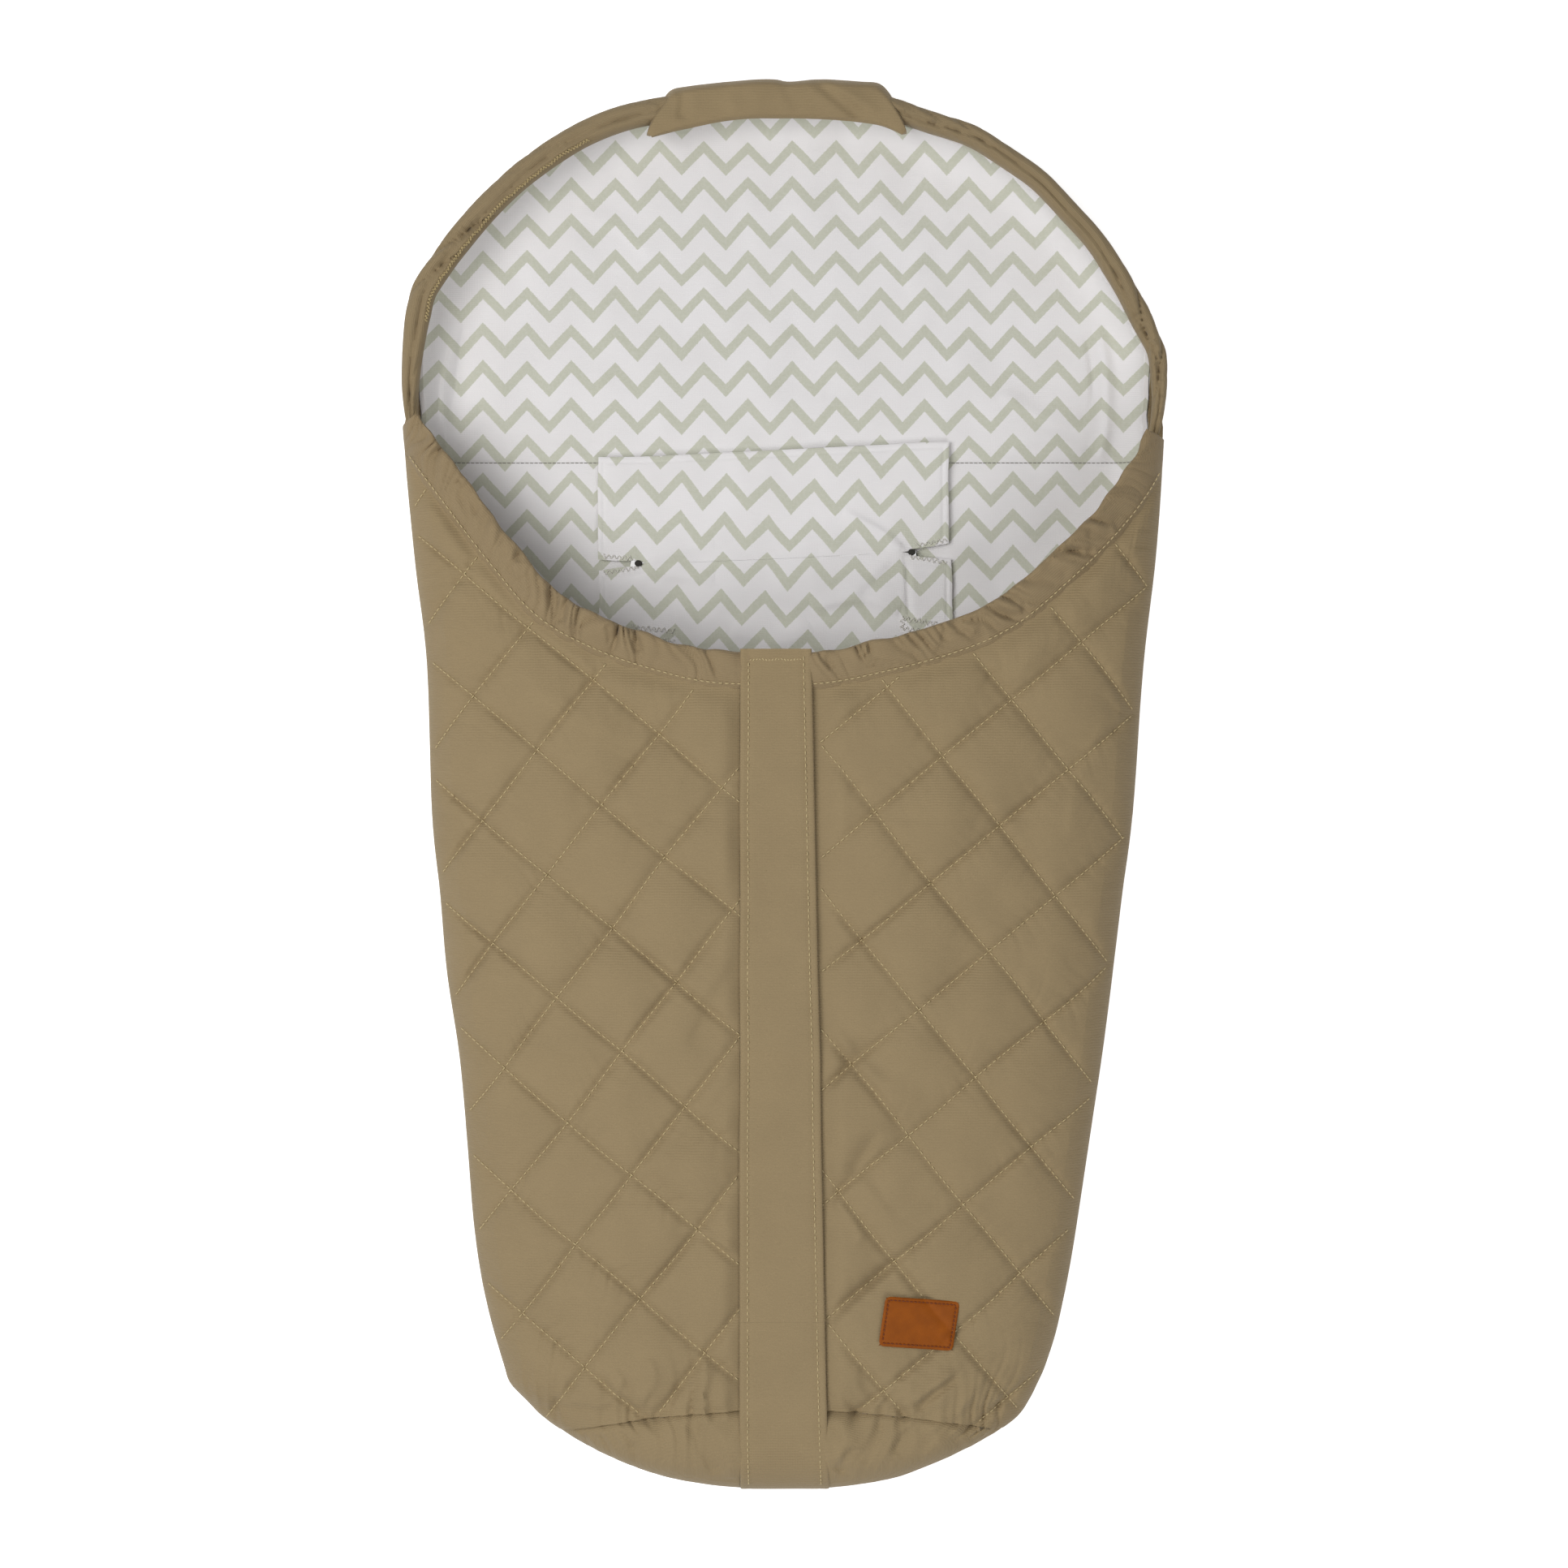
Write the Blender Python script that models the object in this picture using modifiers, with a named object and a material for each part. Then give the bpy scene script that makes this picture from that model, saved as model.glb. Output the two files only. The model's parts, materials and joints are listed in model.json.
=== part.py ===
"""Stroller footmuff lying on its back: +Z up, +Y towards the head end, +X to the right.

The origin is under the middle of the whole piece, on the surface that it lies on. Metres throughout.
"""

import math

import bmesh
import bpy
import numpy as np
from mathutils import Vector

MM = 0.001

# Overall sizes
LENGTH = 800 * MM
WIDTH = 434 * MM
HEIGHT = 80 * MM
SEAM_HEIGHT = 30 * MM
GAP = 0.3 * MM
HOOD_LENGTH = 172 * MM
POCKET_REACH = 9 * MM
TOE_END_WIDTH = 52 * MM

# Cloth and wadding, from the outside in
SHELL = 2.0 * MM
BACK_WADDING = 8.0 * MM
FRONT_WADDING = 5.4 * MM
FRONT_SLACK = 0.9 * MM
LINING = 1.5 * MM

# Front opening
RIM_DIP = 143 * MM
RIM_BAND = 20 * MM
RIM_POWER = 2.5
LAPEL_END_UP = 100 * MM
CREASE_LOW_X = 28 * MM
CREASE_HIGH_IN = 44 * MM
CREASE_GAP = 0.9 * MM
TOE_SEAM_UP = 51 * MM
TOE_SEAM_GAP = 0.9 * MM
TOE_ROUND = 52 * MM
RIM_THICK = 5.2 * MM
HEM_GAP = 0.9 * MM
RIM_ELASTIC = (8 * MM, 1.2 * MM)
RIM_ELASTIC_IN = 6 * MM
AXIS_RISE = 0.5 * MM

# Zip and the flap over it
CHANNEL = 12 * MM
TAPE_WIDTH = 14 * MM
TAPE_THICK = 0.8 * MM
ZIP_DROP = 1.0 * MM
ZIP_FROM_RIM = 6 * MM
TOOTH_PITCH = 9 * MM
TOOTH_REACH = 3.0 * MM
TOOTH_ROOT = 1.6 * MM
TOOTH_THICK = 1.4 * MM
SLIDER = (9.6 * MM, 11 * MM, 0.8 * MM)
SLIDER_LIP = (1.2 * MM, 0.3 * MM)
SLIDER_EAR = (0.8 * MM, 3 * MM, 1.3 * MM)
SLIDER_FROM_RIM = 14 * MM
PULLER = (5.6 * MM, 27 * MM, 0.8 * MM)
STOP_LENGTH = 4 * MM
PLACKET_LEFT = 25 * MM
PLACKET_RIGHT = 22 * MM
PLACKET_THICK = 1.8 * MM
PLACKET_SPLIT = 2.5 * MM

# Hood rim, head pocket, label
CASING_RADIUS = 7.5 * MM
CASING_WALL = 1.2 * MM
CORD_RADIUS = 2.5 * MM
POCKET_WIDTH = 136 * MM
POCKET_DEPTH = 28 * MM
POCKET_THICK = 2.0 * MM
POCKET_SLACK = 0.9 * MM
LABEL = (42.6 * MM, 28.4 * MM, 1.4 * MM)
LABEL_X = 76.8 * MM
LABEL_UP = 93.6 * MM
LABEL_TILT = math.radians(-6)

# Harness window, flap and slots; the places are distances down from the hood's corners
HOOD_SEAM_DOWN = 35 * MM
FLAP_HALF_WIDTH = 101 * MM
FLAP_TOP_DOWN = 26 * MM
FLAP_HINGE_DOWN = 92 * MM
FLAP_CENTRE_X = -6 * MM
FLAP_HINGE_GAP = 0.3 * MM
LOWER_NOTCH_DOWN = 131 * MM
PANEL_LOW_DOWN = 199 * MM
FLAP_THICK = 2.0 * MM
NOTCH_DEPTH = 24 * MM
NOTCH_WIDTH = 6 * MM
SLOT = (44 * MM, 10 * MM)
SLOT_PEEK = 5 * MM
HOOK_PAD = (60 * MM, 18 * MM, 0.6 * MM)
HOOK_FROM_TOP = 14 * MM

# How wide the body is, as a share of the half width, at shares of the way from the hood's corners to the toe
BODY_SHARES = (
    (1.000, 0.0000),
    (0.987, 0.0593),
    (0.952, 0.1942),
    (0.922, 0.3057),
    (0.889, 0.4562),
    (0.853, 0.5677),
    (0.811, 0.6792),
    (0.774, 0.7843),
    (0.745, 0.8413),
    (0.680, 0.9035),
    (0.610, 0.9333),
    (0.490, 0.9619),
    (0.330, 0.9839),
)
EDGE_ROUND_POWER = 3.0
EDGE_DIP_SHARE = 0.13
SPAN_STEPS = 2
ARC_STEPS = 24
LIP_STEPS = 4

BELLY = LINING + BACK_WADDING + SHELL + 2 * GAP
HOOD_CENTRE_Y = LENGTH / 2 - POCKET_REACH - HOOD_LENGTH
PLACKET_RISE = PLACKET_THICK + GAP
TOE_Y = -LENGTH / 2 + PLACKET_RISE
FRONT_TOP = HEIGHT - PLACKET_RISE
RIM_LOW = HOOD_CENTRE_Y - RIM_DIP
LAPEL_END_Y = -LENGTH / 2 + LAPEL_END_UP
TOE_SEAM_Y = -LENGTH / 2 + TOE_SEAM_UP
LABEL_AT = (LABEL_X, -LENGTH / 2 + LABEL_UP)
CREASE_HIGH_X = WIDTH / 2 - CREASE_HIGH_IN
HOOD_SEAM_Y = HOOD_CENTRE_Y - HOOD_SEAM_DOWN
FLAP_TOP_Y = HOOD_CENTRE_Y - FLAP_TOP_DOWN
FLAP_HINGE_Y = HOOD_CENTRE_Y - FLAP_HINGE_DOWN
LOWER_NOTCH_Y = HOOD_CENTRE_Y - LOWER_NOTCH_DOWN
PANEL_LOW_Y = HOOD_CENTRE_Y - PANEL_LOW_DOWN


def clear_scene():
    """An empty file to model in."""
    for obj in list(bpy.data.objects):
        bpy.data.objects.remove(obj, do_unlink=True)


def collection(name):
    """A collection under the scene's own."""
    made = bpy.data.collections.new(name)
    bpy.context.scene.collection.children.link(made)
    return made


def material(name, colour, roughness, metallic=0.0):
    """A Principled material of one colour."""
    made = bpy.data.materials.new(name)
    made.use_nodes = True
    shader = made.node_tree.nodes["Principled BSDF"]
    shader.inputs["Base Color"].default_value = (*colour, 1.0)
    shader.inputs["Roughness"].default_value = roughness
    shader.inputs["Metallic"].default_value = metallic
    made.diffuse_color = (*colour, 1.0)
    return made


clear_scene()
FOOTMUFF = collection("stroller_footmuff")
CUTTERS = collection("cutters")
CUTTERS.hide_render = True
TAUPE = material("taupe_poplin", (0.29, 0.21, 0.12), 0.75)
WADDING = material("wadding", (0.85, 0.85, 0.83), 0.95)
JERSEY = material("chevron_jersey", (0.80, 0.80, 0.80), 0.9)
TAN = material("tan_leather", (0.45, 0.11, 0.01), 0.5)
COIL = material("zip_coil", (0.20, 0.15, 0.09), 0.45)
STEEL = material("slider_metal", (0.35, 0.33, 0.30), 0.35, 1.0)
RUBBER = material("elastic", (0.75, 0.74, 0.70), 0.8)
HOOKS = material("hook_tape", (0.70, 0.70, 0.68), 0.8)


def add(name, mesh, finish, group=None):
    """A named object holding the mesh, with its finish and smooth shading."""
    obj = bpy.data.objects.new(name, mesh)
    (group or FOOTMUFF).objects.link(obj)
    mesh.materials.append(finish)
    mesh.shade_smooth()
    mesh.set_sharp_from_angle(angle=math.radians(40))
    return obj


def solidify(obj, thickness, offset=-1.0):
    """Gives an open surface its thickness, on the side away from its normals."""
    made = obj.modifiers.new("thickness", "SOLIDIFY")
    made.thickness = thickness
    made.offset = offset
    made.use_even_offset = False
    return obj


def body_outline():
    """The right-hand edge of the body from the hood's corner to the toe."""
    run = HOOD_CENTRE_Y - TOE_Y
    widths = np.array([share * WIDTH / 2 for share, _ in BODY_SHARES] + [TOE_END_WIDTH / 2])
    places = np.array([HOOD_CENTRE_Y - share * run for _, share in BODY_SHARES] + [TOE_Y])
    points = np.stack([widths, places], axis=1)
    smooth = []
    for i in range(len(points) - 1):
        before = points[max(i - 1, 0)]
        after = points[min(i + 2, len(points) - 1)]
        for t in np.linspace(0, 1, SPAN_STEPS, endpoint=False):
            a = 2 * points[i]
            b = (points[i + 1] - before) * t
            c = (2 * before - 5 * points[i] + 4 * points[i + 1] - after) * t * t
            d = (3 * points[i] - before - 3 * points[i + 1] + after) * t**3
            smooth.append((a + b + c + d) / 2)
    smooth.append(points[-1])
    return np.array(smooth)


OUTLINE = body_outline()


def inset_outline(inset):
    """The body's right-hand edge moved inwards by inset."""
    along = np.gradient(OUTLINE, axis=0)
    along /= np.linalg.norm(along, axis=1)[:, None]
    outward = np.stack([-along[:, 1], along[:, 0]], axis=1)
    outward[0] = (1, 0)
    moved = OUTLINE - inset * outward
    moved[:, 1] = np.maximum(moved[:, 1], TOE_Y + inset)
    return moved


def half_width(y, inset=0.0):
    """Half the body's width at y, for a layer that lies inset inside the outer face."""
    edge = inset_outline(inset)[::-1]
    return float(np.interp(y, edge[:, 1], edge[:, 0]))


def rim_y(x):
    """How far up the front reaches at x: low in the middle and high at the sides."""
    share = min(abs(x) / (WIDTH / 2), 1.0)
    return RIM_LOW + (HOOD_CENTRE_Y - RIM_LOW) * share**RIM_POWER


def crease_high_y():
    """Where the lapel's fold meets the rim."""
    return rim_y(CREASE_HIGH_X)


def crease_x(y):
    """The straight fold that the lapel turns about, in plan."""
    share = (y - LAPEL_END_Y) / (crease_high_y() - LAPEL_END_Y)
    return CREASE_LOW_X + (CREASE_HIGH_X - CREASE_LOW_X) * share


def toe_share(y, inset):
    """How much of its height the front keeps at y: all of it up to the toe's rounding, none at the toe."""
    start = TOE_Y + TOE_ROUND
    if y >= start:
        return 1.0
    share = min((start - y) / (TOE_ROUND - inset), 1.0)
    return (1 - share**EDGE_ROUND_POWER) ** (1 / EDGE_ROUND_POWER)


def front_z(x, y, inset=0.0):
    """Height of the front at (x, y), for a layer that lies inset inside the outer face."""
    share = min(abs(x) / half_width(y, inset), 1.0)
    fall = (1 - share**EDGE_ROUND_POWER) ** (1 / EDGE_ROUND_POWER)
    base = SEAM_HEIGHT + GAP
    return base + (FRONT_TOP - inset - base) * fall * toe_share(y, inset)


def grid(name, finish, columns, rows, place, flip=False):
    """An open surface: a grid whose points are put where place(u, v) says, u and v running from 0 to 1."""
    bm = bmesh.new()
    bmesh.ops.create_grid(bm, x_segments=columns, y_segments=rows, size=0.5)
    for vert in bm.verts:
        vert.co = place(vert.co.x + 0.5, vert.co.y + 0.5)
    if flip:
        bmesh.ops.reverse_faces(bm, faces=bm.faces)
    mesh = bpy.data.meshes.new(name)
    bm.to_mesh(mesh)
    bm.free()
    return add(name, mesh, finish)


def front_x(y, inset, inner, outer, u):
    """A place between inner and outer, closer together where the front turns down to the side."""
    wide = half_width(y, inset)
    power = EDGE_ROUND_POWER / 2
    first = math.asin(min(inner / wide, 1.0) ** power)
    last = math.asin(min(outer / wide, 1.0) ** power)
    return wide * math.sin(first + (last - first) * u) ** (1 / power)


def rim_place(across, below):
    """The y at which a column of the front, whose x at y is across(y), comes within below of the rim."""
    low, high = LAPEL_END_Y, HOOD_CENTRE_Y
    for _ in range(40):
        middle = (low + high) / 2
        if middle < rim_y(across(middle)) - below:
            low = middle
        else:
            high = middle
    return low


def lowest(thickness):
    """Where a layer of the front ends above the seam: its inner edge dips a little below its outer one."""
    return SEAM_HEIGHT + GAP + EDGE_DIP_SHARE * thickness


def front_sheet(name, finish, side, inset, thickness, inner, outer, rim_cuts, size):
    """One layer of one side of the front, between the x limits inner(y) and outer(y).

    It runs from rim_cuts[1] below the rim, or from the lapel's lower end, up to rim_cuts[0] below it."""
    high_cut, low_cut = rim_cuts

    def place(u, v):
        def across(y):
            return front_x(y, inset, inner(y), outer(y), u)

        top = rim_place(across, high_cut)
        foot = LAPEL_END_Y if low_cut is None else rim_place(across, low_cut)
        y = foot + (top - foot) * v
        x = across(y)
        return side * x, y, max(front_z(x, y, inset), lowest(thickness))

    obj = grid(name, finish, size[0], size[1], place, flip=side < 0)
    return solidify(obj, thickness)


def toe_sheet(name, finish, inset, thickness, y_range, size, x_range=None):
    """One layer of the toe between two places along the body, across its whole width or x_range."""
    low, high = y_range

    def place(u, v):
        share = 1 - math.cos(math.pi / 2 * v) if low <= TOE_Y + inset else v
        y = low + (high - low) * share
        if x_range:
            x = x_range[0] + (x_range[1] - x_range[0]) * u
        else:
            across = 2 * u - 1
            x = math.copysign(front_x(y, inset, 0.0, half_width(y, inset), abs(across)), across)
        return x, y, max(front_z(x, y, inset), lowest(thickness))

    return solidify(grid(name, finish, size[0], size[1], place), thickness)


def body_side(y, inset):
    """The side limit of a layer of the front."""
    return half_width(y, inset)


def make_front(side, word):
    """The fixed side and the folding lapel of one half of the front, in three layers, with the gathered rim."""
    layers = (
        ("shell", TAUPE, 0.0, SHELL, RIM_BAND + HEM_GAP, CHANNEL),
        ("wadding", WADDING, SHELL + GAP, FRONT_WADDING, RIM_BAND + HEM_GAP, TAPE_OUTER + GAP),
        ("lining", JERSEY, SHELL + GAP + FRONT_WADDING + FRONT_SLACK, LINING, GAP, CHANNEL),
    )
    elastic_in = RIM_THICK + FRONT_SLACK
    bands = (
        ("rim_hem", TAUPE, 0.0, RIM_THICK, (0.0, RIM_BAND), TAPE_OUTER + GAP),
        ("rim_elastic", RUBBER, elastic_in, RIM_ELASTIC[1],
         (RIM_ELASTIC_IN, RIM_ELASTIC_IN + RIM_ELASTIC[0]), TAPE_OUTER + GAP),
    )
    strips = [(layer[0], *layer[1:4], (layer[4], None), layer[5]) for layer in layers] + list(bands)
    made = {"side": [], "lapel": []}
    for what, finish, inset, thick, cuts, start in strips:
        def fold_out(y):
            return crease_x(y) + CREASE_GAP / 2

        def fold_in(y):
            return crease_x(y) - CREASE_GAP / 2

        def edge(y, inset=inset):
            return body_side(y, inset)

        def middle(_, start=start):
            return start

        tall = 2 if cuts[1] is not None else 12
        made["side"].append(front_sheet(
            f"side_{word}_{what}", finish, side, inset, thick, fold_out, edge, cuts, (8, tall)))
        made["lapel"].append(front_sheet(
            f"lapel_{word}_{what}", finish, side, inset, thick, middle, fold_in, cuts, (5, tall)))
    return made


TAPE_INNER = TOOTH_REACH + GAP
TAPE_OUTER = TAPE_INNER + TAPE_WIDTH
ZIP_TOP_Y = RIM_LOW - ZIP_FROM_RIM
TAPE_TOP = FRONT_TOP - SHELL - GAP - ZIP_DROP
ZIP_LEVEL = TAPE_TOP - TAPE_THICK / 2
ZIP_LOW_Y = LAPEL_END_Y + CREASE_GAP


def flat_outline(name, points, low, high, finish):
    """A flat outline given its thickness: a filled curve between two heights."""
    curve = bpy.data.curves.new(name, "CURVE")
    curve.dimensions = "2D"
    curve.fill_mode = "BOTH"
    curve.extrude = (high - low) / 2
    line = curve.splines.new("POLY")
    line.points.add(len(points) - 1)
    for point, (x, y) in zip(line.points, points):
        point.co = (x, y, 0, 1)
    line.use_cyclic_u = True
    obj = bpy.data.objects.new(name, curve)
    obj.location.z = (low + high) / 2
    FOOTMUFF.objects.link(obj)
    curve.materials.append(finish)
    return obj


def rectangle(x_low, x_high, y_low, y_high):
    """The corners of a rectangle, anticlockwise."""
    return [(x_low, y_low), (x_high, y_low), (x_high, y_high), (x_low, y_high)]


def toothed_strip(name, points):
    """A zip's chain: one flat face with a toothed edge, given the thickness of the teeth."""
    bm = bmesh.new()
    bm.faces.new([bm.verts.new((x, y, ZIP_LEVEL)) for x, y in points])
    mesh = bpy.data.meshes.new(name)
    bm.to_mesh(mesh)
    bm.free()
    return solidify(add(name, mesh, COIL), TOOTH_THICK, 0.0)


def make_zip(side, word):
    """One zip tape with its chain of teeth and the stop above them; the two chains' teeth alternate."""
    limits = sorted((side * TAPE_INNER, side * TAPE_OUTER))
    tape = flat_outline(
        f"zip_tape_{word}", rectangle(*limits, ZIP_LOW_Y, ZIP_TOP_Y), TAPE_TOP - TAPE_THICK, TAPE_TOP, COIL)
    chain_top = ZIP_TOP_Y - SLIDER_FROM_RIM + STOP_LENGTH
    count = int((chain_top - ZIP_LOW_Y) / TOOTH_PITCH)
    inner = GAP / 2
    tooth = TOOTH_PITCH / 2 - GAP
    stagger = TOOTH_PITCH / 2 if side > 0 else 0.0
    points = [(TOOTH_ROOT, ZIP_LOW_Y)]
    for i in range(count):
        foot = ZIP_LOW_Y + GAP / 2 + stagger + i * TOOTH_PITCH
        points += [(TOOTH_ROOT, foot), (inner, foot), (inner, foot + tooth), (TOOTH_ROOT, foot + tooth)]
    top = ZIP_LOW_Y + (count + 0.5) * TOOTH_PITCH
    points.append((TOOTH_ROOT, top))
    points += [(TOOTH_REACH, top), (TOOTH_REACH, ZIP_LOW_Y)]
    chain = toothed_strip(f"zip_teeth_{word}", [(side * x, y) for x, y in points])
    limits = sorted((side * inner, side * TOOTH_REACH))
    stop = flat_outline(
        f"zip_top_stop_{word}", rectangle(*limits, top + GAP, top + GAP + STOP_LENGTH),
        ZIP_LEVEL - TOOTH_THICK / 2, ZIP_LEVEL + TOOTH_THICK / 2, STEEL)
    return [tape, chain, stop]


def box_mesh(bm, centre, size):
    """A box added to a mesh under construction."""
    made = bmesh.ops.create_cube(bm, size=1.0)
    for vert in made["verts"]:
        vert.co = [c + p * s for c, p, s in zip(centre, vert.co, size)]


def union_of_boxes(name, boxes, finish, group=None):
    """A solid made of boxes that overlap, joined by unions."""
    base = None
    for index, (centre, size) in enumerate(boxes):
        bm = bmesh.new()
        box_mesh(bm, centre, size)
        mesh = bpy.data.meshes.new(name)
        bm.to_mesh(mesh)
        bm.free()
        if index == 0:
            base = add(name, mesh, finish, group)
            continue
        cutter = bpy.data.objects.new(f"{name}_addition_{index}", mesh)
        cutter.hide_render = True
        cutter.display_type = "WIRE"
        CUTTERS.objects.link(cutter)
        join = base.modifiers.new("join", "BOOLEAN")
        join.operation = "UNION"
        join.object = cutter
    return base


SLIDER_Y = ZIP_TOP_Y - SLIDER_FROM_RIM
SLIDER_LOW = ZIP_LEVEL + TOOTH_THICK / 2 + GAP
PULLER_LEVEL = SLIDER_LOW + SLIDER[2] + GAP + PULLER[2] / 2


def make_slider():
    """The slider's plate with its side lips and the two ears that hold the puller."""
    sink = SLIDER_LIP[1]
    plate = ((0, SLIDER_Y, SLIDER_LOW + SLIDER[2] / 2), SLIDER)
    lip_x = SLIDER[0] / 2 - SLIDER_LIP[0] / 2
    lip_low = TAPE_TOP + GAP
    lip_high = SLIDER_LOW + sink
    lips = [
        ((s * lip_x, SLIDER_Y, (lip_low + lip_high) / 2), (SLIDER_LIP[0], SLIDER[1], lip_high - lip_low))
        for s in (-1, 1)
    ]
    ear_x = PULLER[0] / 2 + GAP + SLIDER_EAR[0] / 2
    ear_low = SLIDER_LOW + SLIDER[2] - sink
    ear_high = SLIDER_LOW + SLIDER[2] + SLIDER_EAR[2]
    ears = [
        ((s * ear_x, SLIDER_Y, (ear_low + ear_high) / 2),
         (SLIDER_EAR[0], SLIDER_EAR[1], ear_high - ear_low))
        for s in (-1, 1)
    ]
    return union_of_boxes("zip_slider", [plate, *lips, *ears], STEEL)


def make_puller():
    """The pull tab, lying flat towards the toe, with a rounded end."""
    wide, long, thick = PULLER
    radius = wide / 2
    foot = SLIDER_Y - long + radius
    points = [(radius, SLIDER_Y + thick / 2), (-radius, SLIDER_Y + thick / 2)]
    points += [
        (radius * math.cos(math.pi + math.pi * i / 8), foot + radius * math.sin(math.pi + math.pi * i / 8))
        for i in range(9)
    ]
    return flat_outline("zip_puller", points, PULLER_LEVEL - thick / 2, PULLER_LEVEL + thick / 2, STEEL)


def ring_places(inset, height):
    """The closed outline of body and hood, moved inwards by inset, at one height."""
    right = inset_outline(inset)[::-1]
    arc = []
    for i in range(1, ARC_STEPS):
        turn = math.pi * i / ARC_STEPS
        x = (WIDTH / 2 - inset) * math.cos(turn)
        arc.append((x, HOOD_CENTRE_Y + (HOOD_LENGTH - inset) * math.sin(turn)))
    left = [(-x, y) for x, y in right[::-1]]
    return [(x, y, height) for x, y in [*right, *arc, *left]]


def back_layer(name, finish, inset, thickness, keep=None):
    """One layer of the back: flat under the body, with a lip that rises to the seam all round.

    keep is (side, y): only the part on that side of y stays."""
    radius = SEAM_HEIGHT
    bm = bmesh.new()
    rings = []
    for i in range(LIP_STEPS + 1):
        turn = math.pi / 2 * i / LIP_STEPS
        drop = (radius - inset) * math.sin(turn)
        move = radius - (radius - inset) * math.cos(turn)
        height = radius - max(drop, thickness * math.sin(math.pi / 4 / LIP_STEPS))
        rings.append([bm.verts.new(p) for p in ring_places(move, height)])
    for upper, lower in zip(rings, rings[1:]):
        for i in range(len(upper)):
            j = (i + 1) % len(upper)
            bm.faces.new((upper[i], lower[i], lower[j], upper[j]))
    bm.faces.new(rings[-1])
    bmesh.ops.recalc_face_normals(bm, faces=bm.faces)
    if keep:
        bmesh.ops.bisect_plane(
            bm, geom=[*bm.verts, *bm.edges, *bm.faces], plane_co=(0, keep[1], 0),
            plane_no=(0, -keep[0], 0), clear_outer=True)
    mesh = bpy.data.meshes.new(name)
    bm.to_mesh(mesh)
    bm.free()
    obj = add(name, mesh, finish)
    inward = 1.0 if mesh.polygons[-1].normal.z > 0 else -1.0
    return solidify(obj, thickness, inward)


def cut_slots(objects):
    """The harness slots, two on each side, through every layer of the back."""
    reach = FLAP_HALF_WIDTH - NOTCH_DEPTH + SLOT_PEEK - SLOT[0] / 2
    for level, y in (("upper", FLAP_HINGE_Y), ("lower", LOWER_NOTCH_Y)):
        for side, word in ((-1, "left"), (1, "right")):
            bm = bmesh.new()
            centre = (FLAP_CENTRE_X + side * reach, y, BELLY / 2)
            box_mesh(bm, centre, (*SLOT, 2 * BELLY))
            mesh = bpy.data.meshes.new(f"slot_{level}_{word}")
            bm.to_mesh(mesh)
            bm.free()
            cutter = bpy.data.objects.new(f"slot_{level}_{word}", mesh)
            cutter.hide_render = True
            cutter.display_type = "WIRE"
            CUTTERS.objects.link(cutter)
            for obj in objects:
                cut = obj.modifiers.new(cutter.name, "BOOLEAN")
                cut.operation = "DIFFERENCE"
                cut.object = cutter


def make_back():
    """The back's outer cloth, wadding and the two pieces of lining, with the harness slots."""
    layer_in = SHELL + GAP
    lining_in = layer_in + BACK_WADDING + GAP
    seam = (HOOD_SEAM_Y + GAP / 2, HOOD_SEAM_Y - GAP / 2)
    back = [
        back_layer("back_shell", TAUPE, 0.0, SHELL),
        back_layer("back_wadding", WADDING, layer_in, BACK_WADDING),
        back_layer("back_lining", JERSEY, lining_in, LINING, (-1, seam[1])),
        back_layer("hood_lining", JERSEY, lining_in, LINING, (1, seam[0])),
    ]
    cut_slots(back[:3])
    return back


CASING_LEVEL = SEAM_HEIGHT + GAP + CASING_RADIUS
CASING_INSET = CASING_RADIUS + GAP


def arc_tube(name, radius, finish, filled):
    """A round tube along the hood's rim, from one side of the body round to the other."""
    curve = bpy.data.curves.new(name, "CURVE")
    curve.dimensions = "3D"
    curve.bevel_depth = radius
    curve.bevel_resolution = 2
    curve.use_fill_caps = filled
    line = curve.splines.new("POLY")
    line.points.add(ARC_STEPS)
    for i, point in enumerate(line.points):
        turn = math.pi * i / ARC_STEPS
        x = (WIDTH / 2 - CASING_INSET) * math.cos(turn)
        y = HOOD_CENTRE_Y + GAP + (HOOD_LENGTH - CASING_INSET) * math.sin(turn)
        point.co = (x, y, CASING_LEVEL, 1)
    obj = bpy.data.objects.new(name, curve)
    FOOTMUFF.objects.link(obj)
    curve.materials.append(finish)
    return obj


def make_hood_rim():
    """The casing round the hood with its elastic, and the fixing pocket over the top of it."""
    casing = solidify(arc_tube("hood_rim_casing", CASING_RADIUS, TAUPE, False), CASING_WALL)
    cord = arc_tube("hood_rim_elastic", CORD_RADIUS, RUBBER, True)
    thick = CASING_RADIUS + POCKET_SLACK + POCKET_THICK
    outer = POCKET_DEPTH - thick

    def place(u, v):
        x = POCKET_WIDTH * (u - 0.5)
        share = x / (WIDTH / 2 - CASING_INSET)
        middle = HOOD_CENTRE_Y + GAP + (HOOD_LENGTH - CASING_INSET) * math.sqrt(1 - share**2)
        turn = math.pi * v
        reach = thick if turn < math.pi / 2 else min(outer, POCKET_TOP_Y - middle)
        return x, middle - reach * math.cos(turn), CASING_LEVEL + thick * math.sin(turn)

    pocket = solidify(grid("head_pocket", TAUPE, 10, 10, place), POCKET_THICK)
    return [casing, cord, pocket]


POCKET_TOP_Y = LENGTH / 2


def make_label():
    """The sewn leather label, which follows the front."""
    wide, tall, thick = LABEL
    rise = thick + GAP

    def place(u, v):
        along, up = wide * (u - 0.5), tall * (v - 0.5)
        x = LABEL_AT[0] + along * math.cos(LABEL_TILT) - up * math.sin(LABEL_TILT)
        y = LABEL_AT[1] + along * math.sin(LABEL_TILT) + up * math.cos(LABEL_TILT)
        return x, y, front_z(x, y) + rise

    return solidify(grid("leather_label", TAN, 4, 3, place), thick)


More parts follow.
